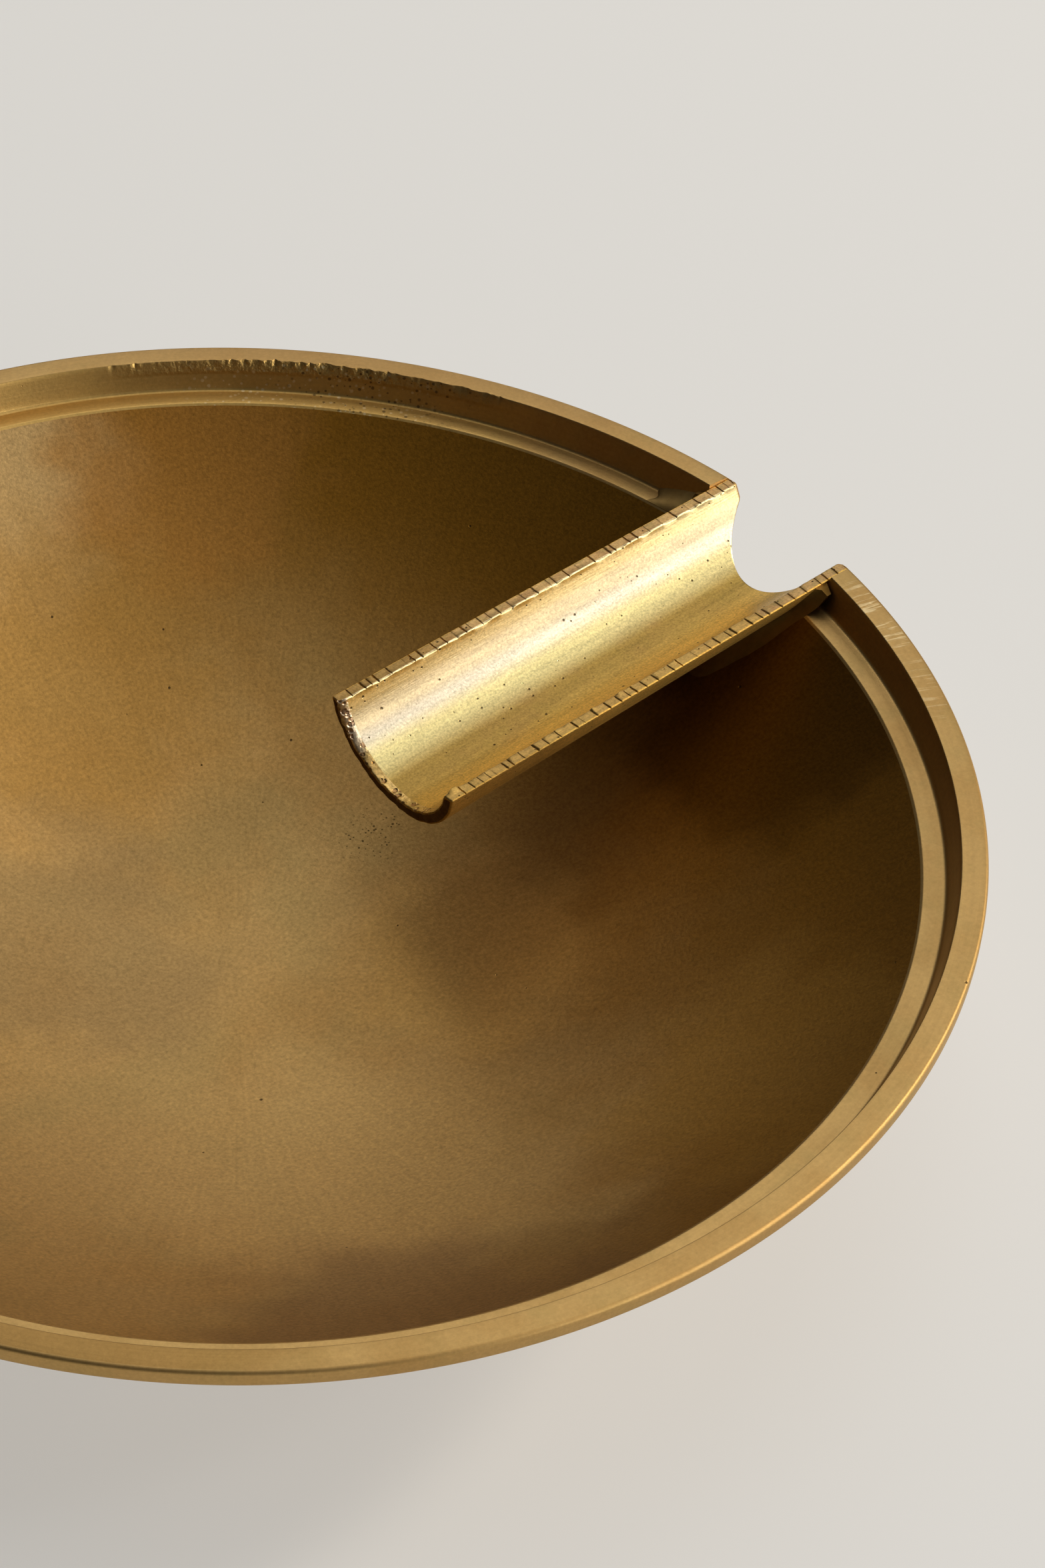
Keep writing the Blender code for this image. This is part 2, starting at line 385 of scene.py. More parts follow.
@dataclass
class Bowl:
    """The turned dish: foot, outer wall, rim land, rebate, ledge and hollow."""

    rim_radius: float = 0.0550
    height: float = 0.0220
    band_height: float = 0.0012
    underside_arc_radius: float = 0.0970
    foot_radius: float = 0.0180
    foot_ring_width: float = 0.0032
    foot_recess_depth: float = 0.0006
    land_width: float = 0.0020
    rebate_depth: float = 0.0025
    rebate_draft: float = 0.0008
    ledge_width: float = 0.0017
    floor_thickness: float = 0.0018
    foot_round: float = 0.00030
    recess_round: float = 0.00015
    band_round: float = 0.00040
    rim_round: float = 0.00030
    land_round: float = 0.00010
    rebate_fillet: float = 0.00035
    ledge_round: float = 0.00020
    columns: int = 500
    worn_columns: int = 300
    side_spacing: float = 0.0021
    rim_refinement: float = 6.0
    cap_spacing: float = 0.0018
    round_spacing: float = 0.00009
    chip_count: int = 240
    chip_depth: float = 0.00012
    chip_depth_shares: tuple[float, float] = (0.05, 1.0)
    chip_width: float = 0.00013
    chip_width_shares: tuple[float, float] = (0.6, 2.2)
    chip_reach: float = 0.00030
    worn_place: float = math.radians(47.0)
    worn_spread: float = math.radians(9.0)
    worn_reach: float = 2.4
    worn_band: float = 0.0027
    seed: int = 11

    @property
    def land_inner_radius(self) -> float:
        """Radius of the rim land's inner edge."""
        return self.rim_radius - self.land_width

    @property
    def rebate_foot_radius(self) -> float:
        """Radius of the foot of the rebate's wall."""
        return self.land_inner_radius - self.rebate_draft

    @property
    def ledge_inner_radius(self) -> float:
        """Radius of the ledge's inner edge."""
        return self.rebate_foot_radius - self.ledge_width

    @property
    def ledge_height(self) -> float:
        """Height of the ledge."""
        return self.height - self.rebate_depth

    @property
    def floor_height(self) -> float:
        """Height of the hollow's lowest point."""
        return self.foot_recess_depth + self.floor_thickness

    @property
    def cap_radius(self) -> float:
        """Radius of the ball that the hollow is part of: (r squared + d squared) / 2 d."""
        depth = self.ledge_height - self.floor_height
        return (self.ledge_inner_radius**2 + depth**2) / (2.0 * depth)

    def hollow_height(self, radius: np.ndarray) -> np.ndarray:
        """Height of the hollow at a radius, with the rebate bridged by a straight slope.

        Args:
            radius: Distances from the Z axis.

        Returns:
            A height for each, with a ball's cap up to the ledge.
        """
        ball = self.cap_radius
        inside = np.minimum(radius, self.ledge_inner_radius)
        cap = self.floor_height + ball - np.sqrt(ball**2 - inside**2)
        slope = self.rebate_depth / (self.land_inner_radius - self.ledge_inner_radius)
        beyond = self.ledge_height + (radius - self.ledge_inner_radius) * slope
        return np.where(radius < self.ledge_inner_radius, cap, beyond)

    def underside(self) -> np.ndarray:
        """Points strictly between foot and rim band, on the arc that bulges down and out.

        The arc's centre lies on the perpendicular through the middle of its chord.

        Returns:
            Points (r, z), shaped (count, 2).
        """
        start = np.array([self.foot_radius, 0.0])
        end = np.array([self.rim_radius, self.height - self.band_height])
        chord = end - start
        length = float(np.linalg.norm(chord))
        rise = math.sqrt(self.underside_arc_radius**2 - (length / 2.0) ** 2)
        centre = (start + end) / 2.0 + np.array([-chord[1], chord[0]]) / length * rise
        first = math.atan2(*(start - centre)[::-1])
        last = math.atan2(*(end - centre)[::-1])
        steps = arc_steps(self.underside_arc_radius, last - first, self.side_spacing)
        angles = np.linspace(first, last, steps + 1)[1:-1]
        return centre + self.underside_arc_radius * np.stack([np.cos(angles), np.sin(angles)], 1)

    def outer_chain(self) -> np.ndarray:
        """The outside's half section, from the foot's outer edge up to the rim's top edge.

        Returns:
            Points (r, z), shaped (count, 2).
        """
        corners = [
            *(Corner(*point) for point in self.underside()),
            Corner(self.rim_radius, self.height - self.band_height, self.band_round),
            Corner(self.rim_radius, self.height, self.rim_round),
            Corner(self.land_inner_radius, self.height),
        ]
        return chain(corners, self.side_spacing, self.round_spacing)[:-1]

    def foot_chain(self) -> np.ndarray:
        """The foot's half section: a recess inside a flat ring.

        Returns:
            Points (r, z), shaped (count, 2).
        """
        ring_inner = self.foot_radius - self.foot_ring_width
        corners = [
            Corner(0.0, self.foot_recess_depth),
            Corner(ring_inner, self.foot_recess_depth, self.recess_round),
            Corner(ring_inner, 0.0, self.recess_round),
            Corner(self.foot_radius, 0.0, self.foot_round),
            Corner(*self.underside()[0]),
        ]
        return chain(corners, self.side_spacing, self.round_spacing)[:-1]

    def rim_chain(self) -> np.ndarray:
        """The rim's half section: land, rebate wall and ledge, down to the hollow's edge.

        Its sides are divided more finely, and it starts on the land, two rounds in from the
        rim's edge.

        Returns:
            Points (r, z), shaped (count, 2).
        """
        corners = [
            Corner(self.rim_radius - self.rim_round * 2.0, self.height),
            Corner(self.land_inner_radius, self.height, self.land_round),
            Corner(self.rebate_foot_radius, self.ledge_height, self.rebate_fillet),
            Corner(self.ledge_inner_radius, self.ledge_height, self.ledge_round),
            Corner(*self.cap_chain()[0]),
        ]
        spacing = self.side_spacing / self.rim_refinement
        return chain(corners, spacing, self.round_spacing)[1:-1]

    def cap_chain(self) -> np.ndarray:
        """The hollow's half section, from near its edge to the middle of its floor.

        Returns:
            Points (r, z), shaped (count, 2).
        """
        widest = math.asin((self.ledge_inner_radius - self.ledge_round) / self.cap_radius)
        steps = arc_steps(self.cap_radius, widest, self.cap_spacing)
        angles = np.linspace(widest, 0.0, steps + 1)
        r = self.cap_radius * np.sin(angles)
        return np.stack([r, self.floor_height + self.cap_radius * (1.0 - np.cos(angles))], 1)

    def chipped(self, patch: Patch) -> np.ndarray:
        """The points of the bowl with small chips along the land's inner edge.

        Each chip is a bell curve round the rim. It moves the edge outwards by its depth,
        fading with the distance from the edge as another bell curve. The chips lie in one
        worn place, spread about its middle as a normal draw, and the cube of an even draw
        makes most of them shallow. The flat of the land stays as it is.

        Args:
            patch: The bowl's surface.

        Returns:
            The moved points.
        """
        rng = np.random.default_rng(self.seed)
        angles = patch.seams[0, :, 0] / self.rim_radius
        centres = rng.normal(self.worn_place, self.worn_spread, self.chip_count)
        width = self.chip_width / self.rim_radius
        widths = width * rng.uniform(*self.chip_width_shares, self.chip_count)
        depths = self.chip_depth * rng.uniform(*self.chip_depth_shares, self.chip_count) ** 3
        chips = (bumps_along(angles, centres, widths) * depths).sum(axis=1)
        r = np.hypot(patch.points[:, 0, 0], patch.points[:, 0, 1])
        from_edge = np.hypot(r - self.land_inner_radius, patch.points[:, 0, 2] - self.height)
        fade = np.exp(-((from_edge / self.chip_reach) ** 2))
        on_land = r > self.land_inner_radius + self.land_round
        fade[on_land & (patch.points[:, 0, 2] >= self.height)] = 0.0
        outwards = (fade[:, None] * chips)[..., None] / np.maximum(r, WELD_DISTANCE)[:, None, None]
        return patch.points + outwards * patch.points * np.array([1.0, 1.0, 0.0])

    def surface(self) -> Patch:
        """The whole bowl before its notch is cut, with more columns where it is worn.

        Returns:
            The surface as one patch, closed round the Z axis.
        """
        parts = [self.foot_chain(), self.outer_chain(), self.rim_chain(), self.cap_chain()]
        zones = [Zone.OUTSIDE, Zone.OUTSIDE, Zone.RIM, Zone.INSIDE]
        named = [np.full(len(part), zone.value) for part, zone in zip(parts, zones)]
        even = np.linspace(0.0, math.tau, self.columns + 1)
        reach = self.worn_reach * self.worn_spread
        close = self.worn_place + np.linspace(-reach, reach, self.worn_columns)
        far = np.abs(even - self.worn_place) > reach + (even[1] - even[0]) / 2.0
        angles = np.sort(np.concatenate([even[far], close]))
        outline, rows = np.concatenate(parts), np.concatenate(named)[1:]
        middle = (outline[1:] + outline[:-1]) / 2.0
        inside = middle[:, 0] < self.land_inner_radius
        rows[inside & (middle[:, 1] > self.height - self.worn_band)] = Zone.WORN.value
        patch = turned(outline, angles, rows)
        patch.points = self.chipped(patch)
        return patch

    def build(self, cutter: bpy.types.Mesh) -> None:
        """Make the bowl, dress it, and cut the rest's seat through its rim.

        Args:
            cutter: The bar that is cut away, whose faces have the zone of a cut.
        """
        finishes = [TURNED_OUTSIDE, TURNED_RIM, BLASTED, NOTCH_WALL, NICKED_WALL]
        materials = [finish.material() for finish in finishes]
        piece = put_in_scene("turned_bowl", weld("turned_bowl", [self.surface()], materials))
        bar = put_in_scene("notch_bar", cutter)
        boolean = piece.modifiers.new("notch", "BOOLEAN")
        boolean.object = bar
        boolean.operation = "DIFFERENCE"
        boolean.solver = "EXACT"
        graph = bpy.context.evaluated_depsgraph_get()
        cut = bpy.data.meshes.new_from_object(piece.evaluated_get(graph))
        piece.modifiers.clear()
        piece.data = cut
        bpy.data.objects.remove(bar)
        soften(cut)
        enlist(piece, "bowl")


# The cigarette rest


@dataclass
class RestAxis:
    """Where the rest's tube lies: its own X runs out along the tube."""

    bowl: Bowl
    height_over_rim: float = 0.0023
    slope: float = math.radians(6.3)
    lip_slope: float = math.radians(4.8)
    inner_end: float = 0.0139

    @property
    def start(self) -> float:
        """Place of the inner end along the tube."""
        return -(self.bowl.rim_radius - self.inner_end) / math.cos(self.slope)

    def place(self, along: np.ndarray, across: np.ndarray, up: np.ndarray) -> np.ndarray:
        """Points given along, across and above the tube's axis, in the object's frame.

        Args:
            along: Places along the axis, 0 at the rim.
            across: Places beside it.
            up: Places above it.

        Returns:
            Points in the common shape of the three, with x, y and z last.
        """
        along, across, up = np.broadcast_arrays(along, across, up)
        cosine, sine = math.cos(self.slope), math.sin(self.slope)
        x = self.bowl.rim_radius + along * cosine - up * sine
        z = self.bowl.height + self.height_over_rim + along * sine + up * cosine
        return np.stack([x, across, z], axis=-1)

    def lip_height(self, along: np.ndarray) -> np.ndarray:
        """Height of the lips' plane above the tube's axis, which falls towards the rim.

        Args:
            along: Places along the axis.

        Returns:
            A height for each.
        """
        turn = self.slope - self.lip_slope
        drop = self.height_over_rim * math.cos(self.lip_slope)
        return -(drop + along * math.sin(turn)) / math.cos(turn)


@dataclass(frozen=True)
class SawMarks:
    """The saw's marks along one lip, as arrays of equal length."""

    places: np.ndarray
    widths: np.ndarray
    depths: np.ndarray


@dataclass(frozen=True)
class LipSection:
    """One lip's section, from its outer edge to its bore edge, with both edges rounded.

    Attributes:
        radii: Each point's distance from the tube's axis.
        under: Its depth under the lips' plane.
        marked: Its share of a saw mark's depth.
        crest: Its share of the burr's height.
    """

    radii: np.ndarray
    under: np.ndarray
    marked: np.ndarray
    crest: np.ndarray


@dataclass
class CigaretteRest:
    """A length of tube, sawn open along its lips and trimmed to the bowl's outside."""

    axis: RestAxis
    outer_radius: float = 0.0075
    wall: float = 0.0010
    joint_gap: float = 0.00003
    edge_round: float = 0.00014
    edge_steps: int = 4
    end_round: float = 0.00016
    end_steps: int = 4
    trim_start: float = -0.0085
    station_spacing: float = 0.00035
    arc_count: int = 60
    face_count: int = 5
    tick_gap: tuple[float, float] = (0.0005, 0.0017)
    tick_width: tuple[float, float] = (0.00003, 0.00006)
    tick_depth: float = 0.00010
    tick_depth_shares: tuple[float, float] = (0.15, 1.0)
    tick_sections: tuple[float, ...] = (-2.2, -1.1, -0.5, 0.0, 0.5, 1.1, 2.2)
    tick_scallop: float = 1.3
    near_face_length: float = 0.0095
    near_slant: float = 0.00020
    burr_height: float = 0.00010
    burr_length: float = 0.0009
    burr_lifts: tuple[float, float] = (0.6, -0.1)
    burr_on_face: float = 0.8
    bead_height: float = 0.00022
    bead_length: float = 0.0005
    waver_height: float = 0.00008
    waver_reach: float = 3.0
    waver_counts: tuple[float, ...] = (3.0, 7.0, 12.0, 19.0, 31.0)
    filed_length: float = 0.0008
    filed_steps: int = 7
    filed_depth: float = 0.00030
    filed_middle: float = -0.35
    filed_spread: float = 0.55
    filed_least: float = 0.12
    teeth_depth: float = 0.00014
    teeth_counts: tuple[float, float] = (61.0, 23.0)
    teeth_shift: float = 1.0
    mouth_round: float = 0.00045
    mouth_steps: int = 6
    cutter_segments: int = 240
    cutter_overrun: float = 0.0040
    seed: int = 23

    @property
    def bore_radius(self) -> float:
        """Radius of the tube's bore."""
        return self.outer_radius - self.wall

    def notch_bar(self) -> bpy.types.Mesh:
        """A closed bar a hair thicker than the tube, which cuts its seat.

        Returns:
            Its mesh, a cylinder on the tube's axis that runs past the bowl's outside.
        """
        radius = self.outer_radius + self.joint_gap
        angles = np.linspace(0.0, math.tau, self.cutter_segments + 1)
        start, end = self.axis.start, self.cutter_overrun
        outline = np.array([[start, 0.0], [start, radius], [end, radius], [end, 0.0]])
        along, r = outline[:, :1], outline[:, 1:]
        points = self.axis.place(along, r * np.cos(angles), r * np.sin(angles))
        return weld("notch_bar", [Patch(points, np.zeros((*points.shape[:2], 2)), Zone.CUT.value)])

    def saw_marks(self, rng: np.random.Generator) -> SawMarks:
        """Draw the saw's marks along one lip, at uneven gaps from the inner end to the rim.

        Args:
            rng: Source of the random values.

        Returns:
            The marks.
        """
        count = int(-self.axis.start / self.tick_gap[0])
        places = self.axis.start + np.cumsum(rng.uniform(*self.tick_gap, count))
        places = places[places < 0.0]
        widths = rng.uniform(*self.tick_width, len(places))
        depths = self.tick_depth * rng.uniform(*self.tick_depth_shares, len(places))
        return SawMarks(places, widths, depths)

    def stations(self, marks: list[SawMarks]) -> np.ndarray:
        """Places of the sections along the tube, closer together at each saw mark and end.

        Args:
            marks: The saw marks of both lips.

        Returns:
            Places in rising order.
        """
        count = math.ceil(-self.axis.start / self.station_spacing)
        even = np.linspace(self.axis.start + self.end_round, 0.0, count + 1)
        spread = np.array(self.tick_sections)
        close = [(mark.places[:, None] + mark.widths[:, None] * spread).ravel() for mark in marks]
        quarter = np.linspace(0.0, QUARTER_TURN, self.end_steps + 1)[:-1]
        end = self.axis.start + self.end_round * (1.0 - np.cos(quarter))
        filed = self.axis.start + np.linspace(self.end_round, self.filed_length, self.filed_steps + 1)
        quarter = np.linspace(0.0, QUARTER_TURN, self.mouth_steps + 1)
        mouth = -self.mouth_round * (1.0 - np.cos(quarter))
        inner = np.concatenate([even, filed, mouth, *close])
        inner = np.unique(np.round(inner[(inner > end[-1]) & (inner <= 0.0)], 6))
        return np.concatenate([end, inner])

    def lip_section(self) -> LipSection:
        """The section that both lips share: two quarter rounds with a flat face between them.

        Saw marks grow shallower over the face, and the burr rises over it as a cube.

        Returns:
            The section, from the outer edge to the bore edge.
        """
        quarter = np.linspace(0.0, QUARTER_TURN, self.edge_steps + 1)
        sides = np.sin(quarter)
        outer = self.outer_radius - self.edge_round * (1.0 - np.cos(quarter))
        face = np.linspace(outer[-1], self.bore_radius + self.edge_round, self.face_count + 2)[1:-1]
        inner = self.bore_radius + self.edge_round * (1.0 - np.cos(quarter[::-1]))
        under = np.concatenate([1.0 - sides, np.zeros(len(face)), 1.0 - sides[::-1]])
        scallop = np.linspace(self.tick_scallop, 1.0, len(face))
        rise = np.linspace(0.0, self.burr_on_face, len(face)) ** 3
        return LipSection(
            radii=np.concatenate([outer, face, inner]),
            under=self.edge_round * under,
            marked=np.concatenate([sides * self.tick_scallop, scallop, sides[::-1]]),
            crest=np.concatenate([np.zeros(len(quarter)), rise, sides[::-1]]),
        )

    def trimmed(self, nominal: np.ndarray, across: np.ndarray, up: np.ndarray) -> np.ndarray:
        """Stretch the last stations so that they end on the bowl's outside.

        Args:
            nominal: Stations along a full tube.
            across: Each line's place beside the axis.
            up: Each line's place above the axis.

        Returns:
            Stations of each point, in the common shape of the three.
        """
        nominal, across, up = np.broadcast_arrays(nominal, across, up)
        outside = self.axis.bowl.outer_chain()

        def within(along: np.ndarray) -> np.ndarray:
            """Whether each line is still inside the bowl's outside.

            Args:
                along: A place along each line.

            Returns:
                True where it is.
            """
            point = self.axis.place(along, across, up)
            reach = np.interp(point[..., 2], outside[:, 1], outside[:, 0])
            return np.hypot(point[..., 0], point[..., 1]) < reach

        start = np.full(nominal.shape, self.axis.start / 2.0)
        end = halved(start, np.full(nominal.shape, self.cutter_overrun), within)
        share = np.clip((nominal - self.trim_start) / -self.trim_start, 0.0, 1.0)
        return np.where(share > 0.0, self.trim_start + share * (end - self.trim_start), nominal)

    def widening(self, stations: np.ndarray, angles: np.ndarray) -> np.ndarray:
        """How much wider the bore is towards its two ends.

        The inner end is filed. Its depth falls as the square of the share of the filed length
        that is left, is greatest under the far lip as a bell curve of the angle, and has fine
        teeth round the bore, the product of two sines. The mouth at the rim is a quarter round.

        Args:
            stations: Stations along the tube.
            angles: Angles round the bore, 0 at the far side.

        Returns:
            Lengths to add to the bore's radius, in the common shape of the two.
        """
        share = np.clip((stations - self.axis.start) / self.filed_length, 0.0, 1.0)
        off_middle = (angles - self.filed_middle) / self.filed_spread
        far_side = self.filed_least + (1.0 - self.filed_least) * np.exp(-(off_middle**2))
        fine, coarse = self.teeth_counts
        teeth = np.sin(angles * fine) * np.sin(angles * coarse + self.teeth_shift)
        filed = self.filed_depth * far_side + self.teeth_depth * teeth * far_side
        filed = np.where(share < 1.0, filed * (1.0 - share) ** 2, 0.0)
        return filed + round_drop(-stations, self.mouth_round)

    def lip(self, side: float, stations: np.ndarray, marks: SawMarks, burr: np.ndarray,
            section: LipSection) -> np.ndarray:
        """Points of one lip, from its outer edge to its bore edge, at every station.

        The height is the lips' plane, less the edges' rounds, less each saw mark's bell
        curve, less the round at the inner end, plus the burr that stands along the bore
        edge. The near lip was filed down towards the bore. The place beside the axis is the
        root of the radius squared less the height squared.

        Args:
            side: 1 for the far lip and -1 for the near one.
            stations: Stations along the tube.
            marks: The saw marks of this lip.
            burr: Height of the burr at each station.
            section: The lip's section.

        Returns:
            Points in the tube's own axes, shaped (stations, points, 3).
        """
        radii, crest = section.radii, section.crest
        sunk = (bumps_along(stations, marks.places, marks.widths) * marks.depths).sum(axis=1)
        worn = round_drop(stations - self.axis.start, self.end_round)
        slant = self.near_slant if side < 0.0 else 0.0
        inwards = (self.outer_radius - radii) / self.wall
        height = self.axis.lip_height(stations)[:, None] - section.under
        height = height - sunk[:, None] * section.marked - slant * inwards
        height = height - worn[:, None] + burr[:, None] * crest
        toward = np.sign((self.outer_radius + self.bore_radius) / 2.0 - radii)
        angle = np.arcsin(height / radii)
        angle = angle if side > 0.0 else math.pi - angle
        wider = self.widening(stations[:, None], angle) * inwards
        spread = radii + toward * worn[:, None] - burr[:, None] * crest + wider
        across = side * np.sqrt(np.maximum(spread**2 - height**2, 0.0))
        along = self.trimmed(stations[:, None], across, height)
        return np.stack([along, across, height], axis=-1)

    def arc(self, place: int, stations: np.ndarray, shares: np.ndarray,
            lips: list[np.ndarray]) -> np.ndarray:
        """Points round the tube between the two lips, at every station.

        Args:
            place: 0 for the outside and -1 for the bore.
            stations: Stations along the tube.
            shares: Shares of the way from the far lip to the near one.
            lips: Points of the far and the near lip.

        Returns:
            Points in the tube's own axes, shaped (stations, shares, 3).
        """
        far, near = lips[0][:, place], lips[1][:, place]
        first = np.arctan2(far[:, 2], far[:, 1])[:, None]
        last = np.arctan2(near[:, 2], near[:, 1])[:, None]
        angles = first + shares * (np.where(last > first, last - math.tau, last) - first)
        radius = np.hypot(far[:, 1], far[:, 2])[:, None]
        if place:
            wider = self.widening(stations[:, None], first)
            radius = radius - wider + self.widening(stations[:, None], angles)
        across, up = radius * np.cos(angles), radius * np.sin(angles)
        return np.stack([self.trimmed(stations[:, None], across, up), across, up], axis=-1)

    def burrs(self, stations: np.ndarray, rng: np.random.Generator) -> list[np.ndarray]:
        """Heights of the far and the near lip's burr at every station.

        Each burr is a wandering line, lifted and held between 0 and its greatest height. The
        near one also has a bead two of its lengths in from the inner end, as a bell curve.

        Args:
            stations: Stations along the tube.
            rng: Source of the random values.

        Returns:
            The heights for the far lip and for the near one.
        """
        heights = [self.burr_height * np.clip(wander(stations, self.burr_length, rng) + lift, 0.0, 1.0)
                   for lift in self.burr_lifts]
        bead = (stations - self.axis.start - self.bead_length * 2.0) / self.bead_length
        heights[1] = heights[1] + self.bead_height * np.exp(-(bead**2))
        return heights

    def skin(self, stations: np.ndarray, lips: list[np.ndarray], outer: np.ndarray,
             bore: np.ndarray) -> list[Patch]:
        """The tube's skin as strips: the outside, the near lip's face, the bore, the far lip's.

        Args:
            stations: Stations along the tube.
            lips: Points of the far and the near lip.
            outer: Points of the outside between the lips.
            bore: Points of the bore between the lips.

        Returns:
            Four patches in the tube's own axes. The rounded edges belong to the first and the third.
        """
        far_lip, near_lip = lips
        edge = self.edge_steps
        far_edge, near_edge = far_lip[:, : edge + 1], near_lip[:, : edge + 1]
        far_brim, near_brim = far_lip[:, -edge - 1 :], near_lip[:, -edge - 1 :]
        inner = np.full(len(stations) - 1, Zone.INSIDE.value)
        inner[stations[1:] < self.axis.start + self.filed_length] = Zone.WORN.value
        inner[stations[:-1] > -self.mouth_round] = Zone.RIM.value
        near_face = np.where(stations[1:] > -self.near_face_length, Zone.RIM.value, Zone.INSIDE.value)
        strips = [
            (np.concatenate([far_edge[:, ::-1], outer, near_edge], axis=1), Zone.OUTSIDE.value),
            (near_lip[:, edge:-edge], near_face),
            (np.concatenate([near_brim, bore[:, ::-1], far_brim[:, ::-1]], axis=1), inner),
            (far_lip[:, edge:-edge][:, ::-1], Zone.RIM.value),
        ]
        return [self.mapped(strip, zones) for strip, zones in strips]

    def ends(self, section: LipSection, lips: list[np.ndarray], outer: np.ndarray,
             bore: np.ndarray) -> list[Patch]:
        """The tube's two end faces, with a row from the outside to the bore at every line.

        Args:
            section: The lips' section.
            lips: Points of the far and the near lip.
            outer: Points of the outside between the lips.
            bore: Points of the bore between the lips.

        Returns:
            The inner end and the mouth, in the tube's own axes.
        """
        through = ((self.outer_radius - section.radii) / self.wall)[:, None]
        faces = []
        for end in (0, -1):
            face = outer[end][:, None] + through * (bore[end] - outer[end])[:, None]
            rows = np.concatenate([lips[0][end][None], face, lips[1][end][None]])
            faces.append(Patch(rows, rows[..., 1:], Zone.CUT.value))
        return faces

    def surface(self) -> list[Patch]:
        """The rest's skin and its two ends, placed in the object's frame and under its top.

        Returns:
            Patches that close on each other once they are welded.
        """
        rng = np.random.default_rng(self.seed)
        marks = [self.saw_marks(rng), self.saw_marks(rng)]
        stations = self.stations(marks)
        burrs = self.burrs(stations, rng)
        section = self.lip_section()
        lips = [self.lip(side, stations, mark, burr, section)
                for side, mark, burr in zip((1.0, -1.0), marks, burrs)]
        shares = np.linspace(0.0, 1.0, self.arc_count + 2)[1:-1]
        outer, bore = (self.arc(place, stations, shares, lips) for place in (0, -1))
        patches = [*self.skin(stations, lips, outer, bore), *self.ends(section, lips, outer, bore)]
        for patch in patches:
            self.waver(patch)
            patch.points = self.axis.place(*np.moveaxis(patch.points, -1, 0))
            patch.points[..., 2] = np.minimum(patch.points[..., 2], self.axis.bowl.height)
        return patches

    def mapped(self, strip: np.ndarray, zones: np.ndarray | int) -> Patch:
        """A strip with its map: metres along the tube, and metres across it.

        Args:
            strip: Points in the tube's own axes.
            zones: Zone value of each row of faces, or of all.

        Returns:
            The strip as a patch.
        """
        middle = strip[len(strip) // 2]
        across = np.broadcast_to(running_length(middle[:, 1:]), strip.shape[:2])
        return Patch(strip, np.stack([strip[..., 0], across], axis=-1), zones)

    def waver(self, patch: Patch) -> None:
        """Let the inner end run a little out of true, by a smooth line round the tube.

        Args:
            patch: One of the rest's patches, in the tube's own axes, which is changed.
        """
        counts = np.array(self.waver_counts)
        phases = np.random.default_rng(self.seed + 1).uniform(0.0, math.tau, len(counts))
        angle = np.arctan2(patch.points[..., 2], patch.points[..., 1])
        line = np.sin(angle[..., None] * counts + phases).mean(axis=-1) * WANDER_GAIN
        reach = self.end_round * self.waver_reach
        near_end = np.clip(1.0 - (patch.points[..., 0] - self.axis.start) / reach, 0.0, 1.0)
        patch.points[..., 0] += np.abs(line) * near_end * self.waver_height

    def build(self) -> None:
        """Make the rest as one closed piece and dress it."""
        finishes = [DRAWN_OUTSIDE, SAWN_LIP, DRAWN_BORE, SAWN_END_PAINTED_SHADE, FILED_END]
        materials = [finish.material() for finish in finishes]
        piece = put_in_scene("tube_rest", weld("tube_rest", self.surface(), materials))
        enlist(piece, "cigarette_rest")


# The solder


